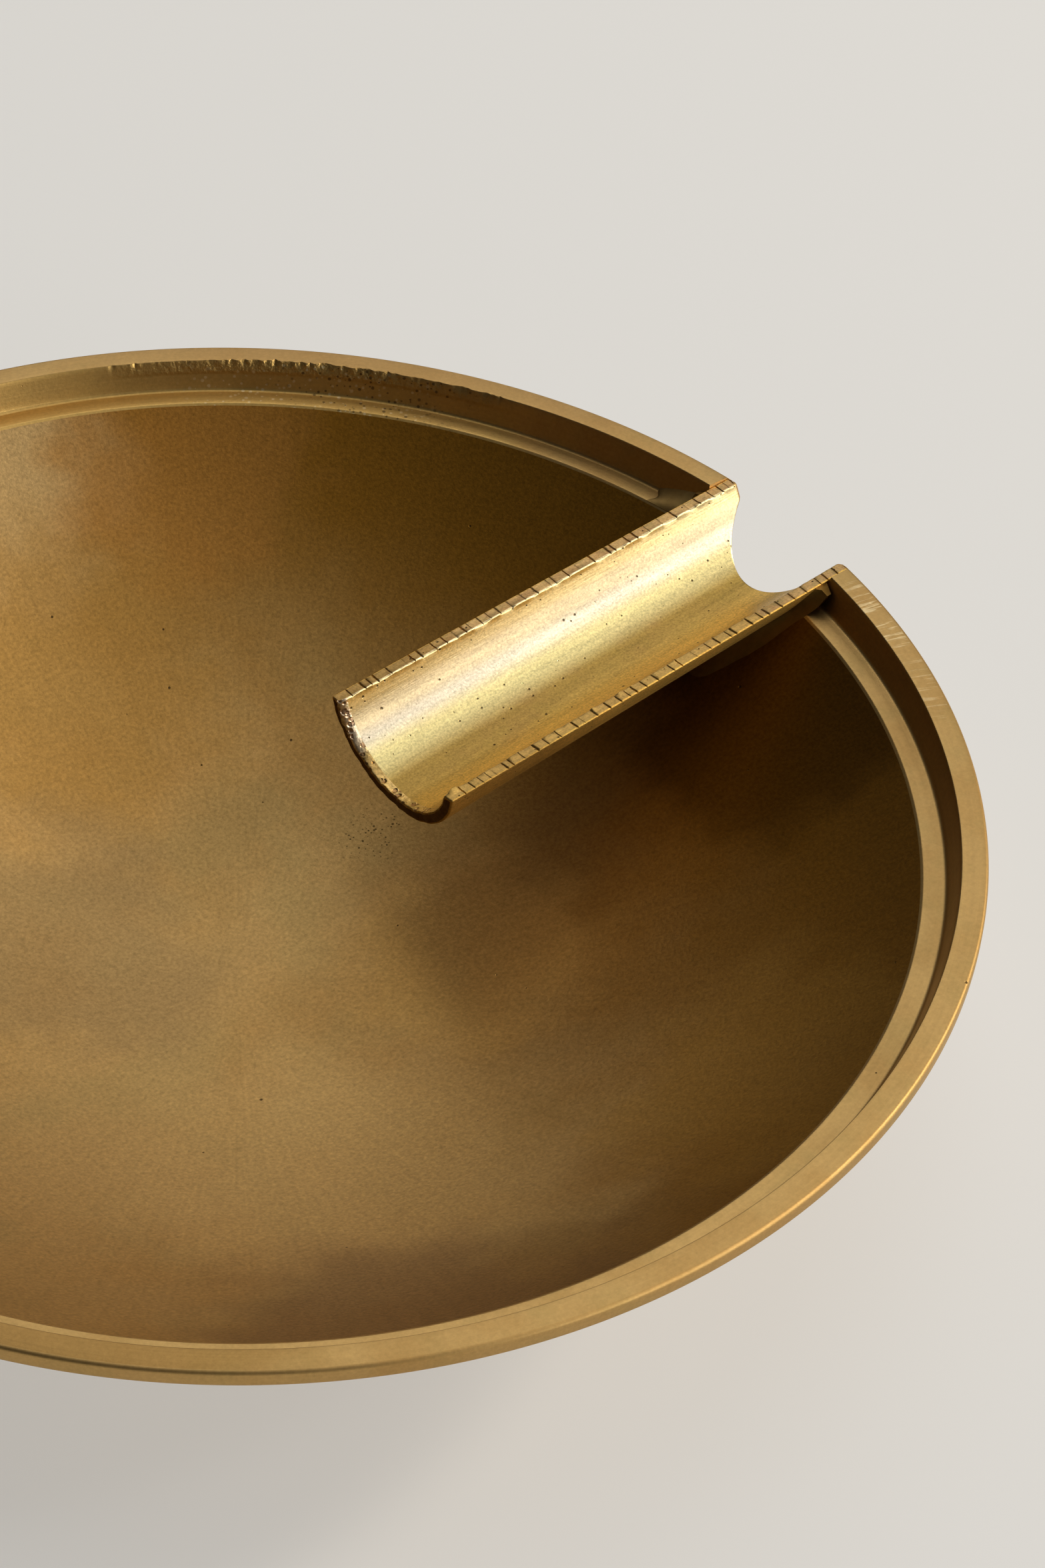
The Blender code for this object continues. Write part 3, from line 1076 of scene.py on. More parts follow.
@dataclass
class Solder:
    """The solder that runs under the rest from lip to lip, and where it crept up the rebate."""

    rest: CigaretteRest
    leg: float = 0.0018
    leg_waver: float = 0.18
    leg_waver_angle: float = 0.35
    thinning_share: float = 0.60
    hollow_share: float = 0.55
    sunk: float = 0.0004
    below_lip: float = 0.00016
    slices: int = 240
    face_steps: int = 14
    far_creep: tuple[float, float] = (0.0052, 0.0022)
    near_creep: tuple[float, float] = (0.0011, 0.0009)
    creep_start: float = 0.00605
    creep_film: float = 0.00010
    creep_waver: float = 0.08
    creep_waver_share: float = 0.40
    creep_taper: float = 0.10
    creep_fall: float = 0.75
    creep_fillet: float = 0.72
    creep_fillet_power: float = 1.6
    creep_steps: int = 40
    seed: int = 5

    def meeting_place(self, across: np.ndarray, up: np.ndarray) -> np.ndarray:
        """How far along the tube a line beside it runs into the bowl's hollow.

        Args:
            across: Place of the line beside the axis.
            up: Its place above the axis.

        Returns:
            Places along the tube.
        """
        axis = self.rest.axis

        def above(along: np.ndarray) -> np.ndarray:
            """Whether each line is still above the hollow.

            Args:
                along: A place along each line.

            Returns:
                True where it is.
            """
            point = axis.place(along, across, up)
            return point[..., 2] > axis.bowl.hollow_height(np.hypot(point[..., 0], point[..., 1]))

        start = np.full(across.shape, axis.start)
        return halved(start, np.full(across.shape, self.rest.cutter_overrun), above)

    def seam(self) -> list[Patch]:
        """The seam under the tube as a ring of slices, each with a hollow face.

        A slice's face is the quadratic curve between a point on the tube and one on the
        bowl, pulled towards the corner where they meet. Its back is sunk into both. Its legs
        thin out towards the lips with the fourth power of the cosine of its angle.

        Returns:
            The ring of slices and its two ends.
        """
        rng = np.random.default_rng(self.seed)
        first = math.asin((self.rest.axis.height_over_rim + self.below_lip) / self.rest.outer_radius)
        angles = -np.linspace(first, math.pi - first, self.slices + 1)[:, None]
        waver = 1.0 + self.leg_waver * wander(angles, self.leg_waver_angle, rng)
        leg = self.leg * (1.0 - self.thinning_share * np.cos(angles) ** 4) * waver
        inner = np.full(angles.shape, self.rest.outer_radius - self.rest.joint_gap)
        outer = inner + leg
        corner = self.meeting_place(inner * np.cos(angles), inner * np.sin(angles))
        on_bowl = self.meeting_place(outer * np.cos(angles), outer * np.sin(angles))
        tube = np.stack([inner, corner - leg], axis=-1)
        meet = np.stack([inner, corner], axis=-1)
        bowl = np.stack([outer, on_bowl], axis=-1)
        pull = (tube + bowl) / 2.0 * (1.0 - self.hollow_share) + meet * self.hollow_share
        share = np.linspace(0.0, 1.0, self.face_steps + 1)[None, :, None]
        face = tube * (1.0 - share) ** 2 + pull * 2.0 * share * (1.0 - share) + bowl * share**2
        back = [bowl + [0.0, self.sunk], meet + [-self.sunk, self.sunk], tube - [self.sunk, 0.0]]
        ring = np.concatenate([face, *back, face[:, :1]], axis=1)
        distance, along = ring[..., 0], ring[..., 1]
        across, up = distance * np.cos(angles), distance * np.sin(angles)
        up = np.minimum(up, self.rest.axis.lip_height(along) - self.below_lip)
        points = self.rest.axis.place(along, across, up)
        seams = np.stack([np.broadcast_to(angles * self.rest.outer_radius, along.shape), along], -1)
        patches = [Patch(points, seams)]
        for row in (0, -1):
            middle = np.broadcast_to(points[row, :-1].mean(axis=0), points[row].shape)
            patches.append(Patch(np.stack([points[row], middle]), np.stack([seams[row]] * 2)))
        return patches

    def creep(self, side: float, length: float, height: float) -> list[Patch]:
        """Solder that crept along the rebate from the tube's flank, as a hollow fillet.

        Along its run, its height over the ledge falls evenly to a quarter, and the root of 1
        less the sixth power of the share makes a blunt nose. From the rebate's wall to the
        ledge's inner edge it falls as a fillet, with a power of the share that is left, and a
        low part of it holds up almost to the edge. A thin film lies over the whole.

        Args:
            side: 1 for the far side of the rest and -1 for the near one.
            length: How far it runs.
            height: How high it stands at the tube.

        Returns:
            Its top, its underside sunk into the bowl and its sides.
        """
        bowl = self.rest.axis.bowl
        along = np.linspace(0.0, 1.0, self.creep_steps + 1)[:, None]
        inwards = np.linspace(0.0, 1.0, self.creep_steps + 1)[None, :]
        wall = bowl.land_inner_radius + self.creep_film
        r = wall + (bowl.ledge_inner_radius - self.creep_film / 2.0 - wall) * inwards
        rng = np.random.default_rng(self.seed + int(side))
        waver = self.creep_waver * wander(inwards, self.creep_waver_share, rng)
        run = length * (1.0 + waver - self.creep_taper * inwards**2)
        across = self.creep_start + run * along
        fall = (1.0 - self.creep_fall * along) * np.sqrt(1.0 - along**6)
        fillet = self.creep_fillet * (1.0 - inwards) ** self.creep_fillet_power
        fillet = fillet + (1.0 - self.creep_fillet) * (1.0 - inwards**8)
        film = self.creep_film * (1.0 - inwards**6) * (1.0 - along**4)
        top = bowl.ledge_height + height * fall * fillet + film
        x = np.sqrt(r**2 - across**2)
        upper = np.stack(np.broadcast_arrays(x, side * across, top), axis=-1)
        under = upper * [1.0, 1.0, 0.0] + [0.0, 0.0, bowl.ledge_height - self.sunk]
        patches = [Patch(upper, upper[..., :2]), Patch(under, under[..., :2])]
        for low, high in ((under[0], upper[0]), (under[-1], upper[-1]),
                          (under[:, 0], upper[:, 0]), (under[:, -1], upper[:, -1])):
            strip = np.stack([low, high])
            patches.append(Patch(strip, strip[..., :2]))
        return patches

    def build(self) -> None:
        """Make the seam and the two fillets that crept along the rebate, and dress them."""
        shapes = {
            "solder_seam": (self.seam(), SHADED_SOLDER),
            "solder_creep_far": (self.creep(1.0, *self.far_creep), SILVER_SOLDER),
            "solder_creep_near": (self.creep(-1.0, *self.near_creep), SHADED_SOLDER),
        }
        for name, (patches, finish) in shapes.items():
            piece = put_in_scene(name, weld(name, patches, [finish.material()]))
            enlist(piece, "solder_fillet")


# Shader groups


GRAIN_REFINEMENT = 2.3
GRAIN_WEIGHTS = (0.65, 0.35)
LINE_SCALES = (0.45, 1.6)
LINE_WEIGHTS = (0.5, 0.5)
SPECK_LEAST_SHARE = 0.35
SPECK_EDGE = 0.45
PATINA_SHIFT = (0.31, 0.17, 0.53)
PATINA_REFINEMENT = 1.7
RUDDY_RANGE = (0.42, 0.68)
OLIVE_RANGE = (0.45, 0.70)
STAIN_NOISE = 2.2
STAIN_RAGGEDNESS = 1.1
STAIN_EDGE = 0.45


class Graph:
    """Adds nodes to one node tree and links them."""

    def __init__(self, tree: bpy.types.NodeTree) -> None:
        """Keep the tree that the nodes go into."""
        self.tree = tree

    def add(self, kind: str, **settings: object) -> bpy.types.Node:
        """Add a node and set its properties.

        Args:
            kind: Blender's name for the kind of node.
            settings: Value of each property by name.

        Returns:
            The node.
        """
        node = self.tree.nodes.new(kind)
        for name, value in settings.items():
            setattr(node, name, value)
        return node

    def feed(self, socket: bpy.types.NodeSocket, value: object) -> None:
        """Link a socket to an output, or set its value.

        Args:
            socket: The input socket.
            value: An output socket, or a plain value.
        """
        if isinstance(value, bpy.types.NodeSocket):
            self.tree.links.new(value, socket)
        else:
            socket.default_value = value

    def calc(self, operation: str, *values: object, clamp: bool = False) -> bpy.types.NodeSocket:
        """Work out one number from others.

        Args:
            operation: Blender's name for it.
            values: Output sockets or numbers, in order.
            clamp: Whether the result is held between 0 and 1.

        Returns:
            The result.
        """
        node = self.add("ShaderNodeMath", operation=operation, use_clamp=clamp)
        for socket, value in zip(node.inputs, values):
            self.feed(socket, value)
        return node.outputs[0]

    def step(self, value: object, low: object, high: object,
             to_low: float = 0.0, to_high: float = 1.0) -> bpy.types.NodeSocket:
        """Map a value smoothly from one range to another, and hold it at the ends.

        Args:
            value: What is mapped.
            low: Start of its range.
            high: End of its range.
            to_low: The result at the start.
            to_high: The result at the end.

        Returns:
            The result.
        """
        node = self.add("ShaderNodeMapRange", interpolation_type="SMOOTHSTEP")
        for socket, given in zip(node.inputs, (value, low, high, to_low, to_high)):
            self.feed(socket, given)
        return node.outputs[0]

    def blend(self, share: object, first: object, second: object) -> bpy.types.NodeSocket:
        """Mix two colours.

        Args:
            share: Share of the second.
            first: The first colour.
            second: The second colour.

        Returns:
            The mixed colour.
        """
        node = self.add("ShaderNodeMix", data_type="RGBA")
        for place, value in ((0, share), (6, first), (7, second)):
            self.feed(node.inputs[place], value)
        return node.outputs[2]

    def swing(self, noise: object, reach: object) -> bpy.types.NodeSocket:
        """Turn noise between 0 and 1 into a swing about zero: (noise - 0.5) times a reach."""
        return self.calc("MULTIPLY", self.calc("SUBTRACT", noise, 0.5), reach)

    def weighted(self, values: Sequence[object], weights: Sequence[float]) -> bpy.types.NodeSocket:
        """Add two numbers, each times a weight."""
        parts = [self.calc("MULTIPLY", value, weight) for value, weight in zip(values, weights)]
        return self.calc("ADD", *parts)

    def vectors(self, operation: str, first: object, second: object) -> bpy.types.Node:
        """Work out a vector from two others, or how far apart they are.

        Args:
            operation: Blender's name for it.
            first: The first vector.
            second: The second vector, or a number for all three of its parts.

        Returns:
            The node, with the vector as its first output and a number as its second.
        """
        node = self.add("ShaderNodeVectorMath", operation=operation)
        self.feed(node.inputs[0], first)
        self.feed(node.inputs[1], second)
        return node

    def split(self, vector: object) -> tuple[bpy.types.NodeSocket, ...]:
        """Take a vector apart into its three numbers.

        Args:
            vector: The vector.

        Returns:
            Its x, y and z.
        """
        node = self.add("ShaderNodeSeparateXYZ")
        self.feed(node.inputs[0], vector)
        return tuple(node.outputs)

    def noise(self, place: object, scale: object, detail: float = 2.0,
              roughness: float = 0.5) -> bpy.types.NodeSocket:
        """Smooth noise between 0 and 1.

        Args:
            place: Where it is read.
            scale: Waves to one unit of length.
            detail: Octaves of finer noise in it.
            roughness: Weight of each octave against the last.

        Returns:
            The noise.
        """
        node = self.add("ShaderNodeTexNoise", noise_dimensions="3D")
        self.feed(node.inputs["Vector"], place)
        self.feed(node.inputs["Scale"], scale)
        node.inputs["Detail"].default_value = detail
        node.inputs["Roughness"].default_value = roughness
        return node.outputs[0]

    def group(self, name: str, **values: object) -> bpy.types.Node:
        """Place a shader group, with its inputs set or linked by name.

        Args:
            name: Name of the group.
            values: Each input's value by its name in small letters, with an underscore for a space.

        Returns:
            The group's node.
        """
        node = self.add("ShaderNodeGroup", node_tree=bpy.data.node_groups[name])
        for key, value in values.items():
            self.feed(node.inputs[key.replace("_", " ").title()], value)
        return node


def new_group(name: str, inputs: dict[str, object], outputs: dict[str, str]
              ) -> tuple[Graph, dict[str, bpy.types.NodeSocket], bpy.types.Node]:
    """Start a shader group.

    Args:
        name: Name of the group.
        inputs: Name and default of each input; a tuple of four is a colour, of three a vector.
        outputs: Name and socket type of each output.

    Returns:
        The graph, the input node's outputs by name, and the output node.
    """
    tree = bpy.data.node_groups.new(name, "ShaderNodeTree")
    kinds = {3: "NodeSocketVector", 4: "NodeSocketColor"}
    for title, value in inputs.items():
        kind = kinds[len(value)] if isinstance(value, tuple) else "NodeSocketFloat"
        socket = tree.interface.new_socket(name=title, in_out="INPUT", socket_type=kind)
        socket.default_value = value
    for title, kind in outputs.items():
        tree.interface.new_socket(name=title, in_out="OUTPUT", socket_type=kind)
    graph = Graph(tree)
    entry = graph.add("NodeGroupInput")
    leave = graph.add("NodeGroupOutput")
    return graph, {socket.name: socket for socket in entry.outputs}, leave


def make_grain_group() -> None:
    """Blasted grain: fine pebbles of one size, broken up by finer noise."""
    inputs = {"Place": (0.0, 0.0, 0.0), "Size": 0.0002}
    graph, given, leave = new_group("blasted_grain", inputs, {"Height": "NodeSocketFloat"})
    scale = graph.calc("DIVIDE", 1.0, given["Size"])
    coarse = graph.noise(given["Place"], scale, detail=1.0)
    fine = graph.noise(given["Place"], graph.calc("MULTIPLY", scale, GRAIN_REFINEMENT), detail=2.0)
    graph.feed(leave.inputs["Height"], graph.weighted((coarse, fine), GRAIN_WEIGHTS))


def make_lines_group() -> None:
    """Fine lines: noise drawn out along one direction of the surface map."""
    inputs = {"Along": 0.0, "Across": 0.0, "Length": 0.01, "Spacing": 0.0002}
    graph, given, leave = new_group("fine_lines", inputs, {"Height": "NodeSocketFloat"})
    place = graph.add("ShaderNodeCombineXYZ")
    graph.feed(place.inputs[0], graph.calc("DIVIDE", given["Along"], given["Length"]))
    graph.feed(place.inputs[1], graph.calc("DIVIDE", given["Across"], given["Spacing"]))
    coarse = graph.noise(place.outputs[0], LINE_SCALES[0], detail=1.0)
    fine = graph.noise(place.outputs[0], LINE_SCALES[1], detail=3.0, roughness=0.6)
    graph.feed(leave.inputs["Height"], graph.weighted((coarse, fine), LINE_WEIGHTS))


def make_specks_group() -> None:
    """Specks: one small spot in some of the cells of a scattered net."""
    inputs = {"Place": (0.0, 0.0, 0.0), "Spacing": 0.002, "Size": 0.0001, "Share": 0.3}
    graph, given, leave = new_group("specks", inputs, {"Mask": "NodeSocketFloat"})
    cells = graph.add("ShaderNodeTexVoronoi", feature="F1")
    graph.feed(cells.inputs["Vector"], given["Place"])
    graph.feed(cells.inputs["Scale"], graph.calc("DIVIDE", 1.0, given["Spacing"]))
    colour = graph.add("ShaderNodeSeparateColor")
    graph.feed(colour.inputs[0], cells.outputs["Color"])
    distance = graph.calc("MULTIPLY", cells.outputs["Distance"], given["Spacing"])
    share = graph.calc("ADD", SPECK_LEAST_SHARE, colour.outputs[1])
    reach = graph.calc("MULTIPLY", given["Size"], share)
    spot = graph.calc("SUBTRACT", 1.0, graph.calc("DIVIDE", distance, reach), clamp=True)
    chosen = graph.calc("LESS_THAN", colour.outputs[0], given["Share"])
    mask = graph.calc("MULTIPLY", graph.step(spot, 0.0, SPECK_EDGE), chosen)
    graph.feed(leave.inputs["Mask"], mask)


def make_patina_group() -> None:
    """Patina: two clouded tints over the clean metal, and a darker tarnish that grows with the distance
    from a clean place, used on the hollow both as tarnish and as painted shade.
    """
    inputs = {
        "Place": (0.0, 0.0, 0.0), "Size": 0.012, "Metal": (0.8, 0.6, 0.3, 1.0),
        "Ruddy": (0.7, 0.4, 0.2, 1.0), "Olive": (0.6, 0.55, 0.25, 1.0), "Amount": 0.5,
        "Tarnish": (0.4, 0.2, 0.04, 1.0), "Smoke": 0.0,
        "Clean Middle": (-0.025, 0.001, 0.005), "Clean Until": 0.036, "Full From": 0.068,
    }
    graph, given, leave = new_group("patina", inputs, {"Colour": "NodeSocketColor"})
    scale = graph.calc("DIVIDE", 1.0, given["Size"])
    warm = graph.noise(given["Place"], scale, detail=4.0, roughness=0.55)
    shifted = graph.vectors("ADD", given["Place"], PATINA_SHIFT).outputs[0]
    cool = graph.noise(shifted, graph.calc("MULTIPLY", scale, PATINA_REFINEMENT), detail=4.0)
    ruddy = graph.calc("MULTIPLY", graph.step(warm, *RUDDY_RANGE), given["Amount"])
    olive = graph.calc("MULTIPLY", graph.step(cool, *OLIVE_RANGE), given["Amount"])
    first = graph.blend(ruddy, given["Metal"], given["Ruddy"])
    second = graph.blend(olive, first, given["Olive"])
    apart = graph.vectors("DISTANCE", given["Place"], given["Clean Middle"]).outputs["Value"]
    distance = graph.calc("ADD", apart, graph.swing(warm, given["Size"]))
    smoke = graph.step(distance, given["Clean Until"], given["Full From"])
    share = graph.calc("MULTIPLY", smoke, given["Smoke"])
    graph.feed(leave.inputs["Colour"], graph.blend(share, second, given["Tarnish"]))


def make_round_patch_group() -> None:
    """Round patch: a round spot whose edge is broken up by noise."""
    inputs = {"Place": (0.0, 0.0, 0.0), "Centre": (0.0, 0.0, 0.0), "Radius": 0.003}
    graph, given, leave = new_group("round_patch", inputs, {"Mask": "NodeSocketFloat"})
    apart = graph.vectors("DISTANCE", given["Place"], given["Centre"]).outputs["Value"]
    share = graph.calc("DIVIDE", apart, given["Radius"])
    noise = graph.noise(given["Place"], graph.calc("DIVIDE", STAIN_NOISE, given["Radius"]), detail=4.0)
    edge = graph.calc("ADD", share, graph.swing(noise, STAIN_RAGGEDNESS))
    graph.feed(leave.inputs["Mask"], graph.step(edge, STAIN_EDGE, 1.0, 1.0, 0.0))


# Finishes


class Mark(Enum):
    """What fills a patch."""

    SPOT = "one tint all over"
    SPECKS = "small spots"
    SCRATCHES = "lines along the map's second direction"


@dataclass(frozen=True)
class StainOrPaintedLight:
    """A tinted place on a finish, filled all over, with specks or with scratches; some are real dirt and
    scratches, others are painted light and painted shade.
    """

    centre: tuple[float, float, float]
    radius: float
    colour: tuple[float, float, float]
    strength: float
    mark: Mark = Mark.SPOT
    spacing: float = 0.00030
    speck_size_share: float = 0.36
    speck_share: float = 0.6
    scratch_stretch: float = 12.0
    scratch_range: tuple[float, float] = (0.52, 0.60)

    def share(self, graph: Graph, place: object, u: object, v: object) -> bpy.types.NodeSocket:
        """How much of the patch's colour covers the finish.

        Args:
            graph: The material's graph.
            place: Object coordinates.
            u: First coordinate of the surface map.
            v: Its second coordinate.

        Returns:
            A share between 0 and the stain's strength.
        """
        mask = graph.group("round_patch", place=place, centre=self.centre, radius=self.radius).outputs[0]
        if self.mark is Mark.SPECKS:
            size = self.spacing * self.speck_size_share
            fill = graph.group("specks", place=place, spacing=self.spacing, size=size,
                               share=self.speck_share).outputs[0]
            mask = graph.calc("MULTIPLY", mask, fill)
        elif self.mark is Mark.SCRATCHES:
            length = self.spacing * self.scratch_stretch
            lines = graph.group("fine_lines", along=v, across=u, length=length,
                                spacing=self.spacing).outputs[0]
            mask = graph.calc("MULTIPLY", mask, graph.step(lines, *self.scratch_range))
        return graph.calc("MULTIPLY", mask, self.strength)


@dataclass(frozen=True)
class PaintedLightBand:
    """A painted stripe along the map's first direction; lighter stripes paint highlights and light, darker
    ones paint shade.
    """

    middle: float
    half_width: float
    colour: tuple[float, float, float]
    strength: float

    def share(self, graph: Graph, v: object) -> bpy.types.NodeSocket:
        """How much of the band's colour covers the finish.

        Args:
            graph: The material's graph.
            v: Second coordinate of the surface map.

        Returns:
            A share between 0 and the band's strength.
        """
        rises = graph.step(v, self.middle - self.half_width, self.middle)
        falls = graph.step(v, self.middle, self.middle + self.half_width, 1.0, 0.0)
        return graph.calc("MULTIPLY", graph.calc("MULTIPLY", rises, falls), self.strength)


@dataclass(frozen=True)
class Texture:
    """The outputs that a finish's colour and relief are both made from."""

    place: bpy.types.NodeSocket
    u: bpy.types.NodeSocket
    v: bpy.types.NodeSocket
    grain: bpy.types.NodeSocket
    lines: bpy.types.NodeSocket
    specks: bpy.types.NodeSocket


@dataclass(frozen=True)
class Finish:
    """A metal finish, with its sizes in metres and its colours in linear RGB."""

    name: str
    metal: tuple[float, float, float]
    ruddy: tuple[float, float, float]
    olive: tuple[float, float, float]
    roughness: float
    patina_size: float = 0.014
    patina_amount: float = 0.6
    grain_size: float = 0.00022
    grain_depth: float = 0.00001
    line_length: float = 0.010
    line_spacing: float = 0.00020
    line_depth: float = 0.0
    lines_follow_u: bool = True
    speck_spacing: float = 0.0024
    speck_size: float = 0.00016
    speck_share: float = 0.30
    speck_colour: tuple[float, float, float] = (0.05, 0.03, 0.012)
    speck_strength: float = 0.85
    speck_depth_share: float = 0.3
    roughness_spread: float = 0.08
    smoke: float = 0.0
    tarnish: tuple[float, float, float] = (0.33, 0.165, 0.024)
    grain_tint: float = 0.25
    line_tint: float = 0.0
    painted_light_bands: tuple[PaintedLightBand, ...] = ()
    pitted_at: tuple[float, float, float] = (0.0, 0.0, 0.0)
    pitted_radius: float = 0.0
    pit_size: float = 0.00040
    pit_depth: float = 0.00012
    pitted_above: float = 0.0208
    stains_and_painted_light: tuple[StainOrPaintedLight, ...] = ()

    def material(self) -> bpy.types.Material:
        """Build the finish once as a material on object coordinates and the surface map.

        Returns:
            The material, which is the same one each time.
        """
        if self.name in bpy.data.materials:
            return bpy.data.materials[self.name]
        made = bpy.data.materials.new(self.name)
        made.use_nodes = True
        graph = Graph(made.node_tree)
        texture = self.texture(graph)
        shader = made.node_tree.nodes["Principled BSDF"]
        shader.inputs["Metallic"].default_value = 1.0
        graph.feed(shader.inputs["Base Color"], self.colour(graph, texture))
        clouds = graph.noise(texture.place, 1.0 / self.patina_size, detail=3.0)
        uneven = graph.swing(clouds, self.roughness_spread * 2.0)
        graph.feed(shader.inputs["Roughness"], graph.calc("ADD", uneven, self.roughness, clamp=True))
        bump = graph.add("ShaderNodeBump")
        bump.inputs["Distance"].default_value = 1.0
        graph.feed(bump.inputs["Height"], self.relief(graph, texture))
        graph.feed(shader.inputs["Normal"], bump.outputs[0])
        return made

    def texture(self, graph: Graph) -> Texture:
        """Place the coordinates and the groups that the finish is made from.

        Args:
            graph: The material's graph.

        Returns:
            Their outputs.
        """
        place = graph.add("ShaderNodeTexCoord").outputs["Object"]
        u, v, _ = graph.split(graph.add("ShaderNodeUVMap", uv_map=SEAM_MAP).outputs[0])
        along, across = (u, v) if self.lines_follow_u else (v, u)
        grain = graph.group("blasted_grain", place=place, size=self.grain_size).outputs[0]
        lines = graph.group("fine_lines", along=along, across=across, length=self.line_length,
                            spacing=self.line_spacing).outputs[0]
        specks = graph.group("specks", place=place, spacing=self.speck_spacing,
                             size=self.speck_size, share=self.speck_share).outputs[0]
        return Texture(place, u, v, grain, lines, specks)

    def colour(self, graph: Graph, texture: Texture) -> bpy.types.NodeSocket:
        """The metal's patina, under its tinted patches and its painted highlight and shade stripes, tinted
        by grain and lines, with specks.

        Args:
            graph: The material's graph.
            texture: What the finish is made from.

        Returns:
            The base colour.
        """
        place, u, v = texture.place, texture.u, texture.v
        colour = graph.group("patina", place=place, size=self.patina_size,
                             metal=(*self.metal, 1.0), ruddy=(*self.ruddy, 1.0),
                             olive=(*self.olive, 1.0), amount=self.patina_amount,
                             tarnish=(*self.tarnish, 1.0), smoke=self.smoke).outputs[0]
        for round_patch in self.stains_and_painted_light:
            colour = graph.blend(round_patch.share(graph, place, u, v), colour, (*round_patch.colour, 1.0))
        for band in self.painted_light_bands:
            colour = graph.blend(band.share(graph, v), colour, (*band.colour, 1.0))
        tint = graph.swing(texture.grain, self.grain_tint * 2.0)
        drawn = graph.swing(texture.lines, self.line_tint * 2.0)
        factor = graph.calc("ADD", graph.calc("ADD", tint, drawn), 1.0)
        colour = graph.vectors("MULTIPLY", colour, factor).outputs[0]
        dark = graph.calc("MULTIPLY", texture.specks, self.speck_strength)
        return graph.blend(dark, colour, (*self.speck_colour, 1.0))

    def relief(self, graph: Graph, texture: Texture) -> bpy.types.NodeSocket:
        """Height of grain and lines, less the specks, plus the nicks high up in a pitted place.

        Args:
            graph: The material's graph.
            texture: What the finish is made from.

        Returns:
            The height in metres.
        """
        depths = (self.grain_depth, self.line_depth)
        height = graph.weighted((texture.grain, texture.lines), depths)
        sunk = graph.calc("MULTIPLY", texture.specks, self.speck_size * self.speck_depth_share)
        height = graph.calc("SUBTRACT", height, sunk)
        if not self.pitted_radius:
            return height
        place = texture.place
        pits = graph.group("blasted_grain", place=place, size=self.pit_size).outputs[0]
        near = graph.group("round_patch", place=place, centre=self.pitted_at,
                           radius=self.pitted_radius).outputs[0]
        high = graph.step(graph.split(place)[2], self.pitted_above, self.pitted_above + self.pit_size)
        deep = graph.calc("MULTIPLY", graph.calc("MULTIPLY", pits, near), self.pit_depth)
        return graph.calc("ADD", height, graph.calc("MULTIPLY", deep, high))


BOWL_BRASS = (0.470, 0.290, 0.100)
BOWL_RUDDY = (0.440, 0.245, 0.070)
BOWL_OLIVE = (0.410, 0.272, 0.096)
BRIGHT_SCRATCH = (0.800, 0.620, 0.330)
DARK_SPECK = (0.090, 0.055, 0.025)
# Dark brown used as painted shade on the hollow's -Y wall.
PAINTED_SHADE_BROWN = (0.200, 0.105, 0.045)

# The hollow's tarnish grows away from a clean place on the -X side of the floor, so the +X side, which the
# rim shades, turns darker and browner: partly tarnish and partly painted shade.
BLASTED = Finish("blasted_brass", BOWL_BRASS, BOWL_RUDDY, BOWL_OLIVE, 0.50,
                 patina_size=0.016, patina_amount=0.55, smoke=1.0, tarnish=(0.265, 0.121, 0.014),
                 grain_size=0.00028, grain_tint=0.5, grain_depth=0.000018,
                 line_depth=0.000004, lines_follow_u=False,
                 line_length=0.012, line_spacing=0.00045, line_tint=0.14, speck_size=0.00012,
                 stains_and_painted_light=(StainOrPaintedLight((0.0170, 0.0049, 0.0043), 0.0036, (0.060, 0.035, 0.012), 0.85,
                               Mark.SPECKS),
                         # The patches below paint light and shade, in order: lighter on the floor towards
                         # -Y, darker on the -Y wall, lighter high on the +Y wall, darker on the +Y wall in
                         # two places, darker on the floor towards -X, lighter under the rest's inner end
                         # where its shadow falls, lighter low on the -Y wall towards +X, and darker on the
                         # +X wall beside the rest.
                         StainOrPaintedLight((-0.006, -0.026, 0.007), 0.0220, (0.560, 0.360, 0.130), 0.6),
                         StainOrPaintedLight((-0.022, -0.049, 0.017), 0.0230, PAINTED_SHADE_BROWN, 0.55),
                         StainOrPaintedLight((0.008, 0.047, 0.018), 0.0160, (0.490, 0.320, 0.130), 0.9),
                         StainOrPaintedLight((0.024, 0.040, 0.015), 0.0145, (0.380, 0.175, 0.035), 0.75),
                         StainOrPaintedLight((0.005, 0.030, 0.008), 0.0170, (0.360, 0.190, 0.042), 0.7),
                         StainOrPaintedLight((-0.010, 0.010, 0.004), 0.0160, (0.300, 0.190, 0.075), 0.6),
                         StainOrPaintedLight((0.014, -0.010, 0.004), 0.0130, (0.620, 0.370, 0.105), 0.5),
                         StainOrPaintedLight((0.018, -0.041, 0.016), 0.0170, (0.460, 0.250, 0.045), 0.4),
                         StainOrPaintedLight((0.044, -0.012, 0.015), 0.0150, (0.110, 0.045, 0.004), 0.7)))
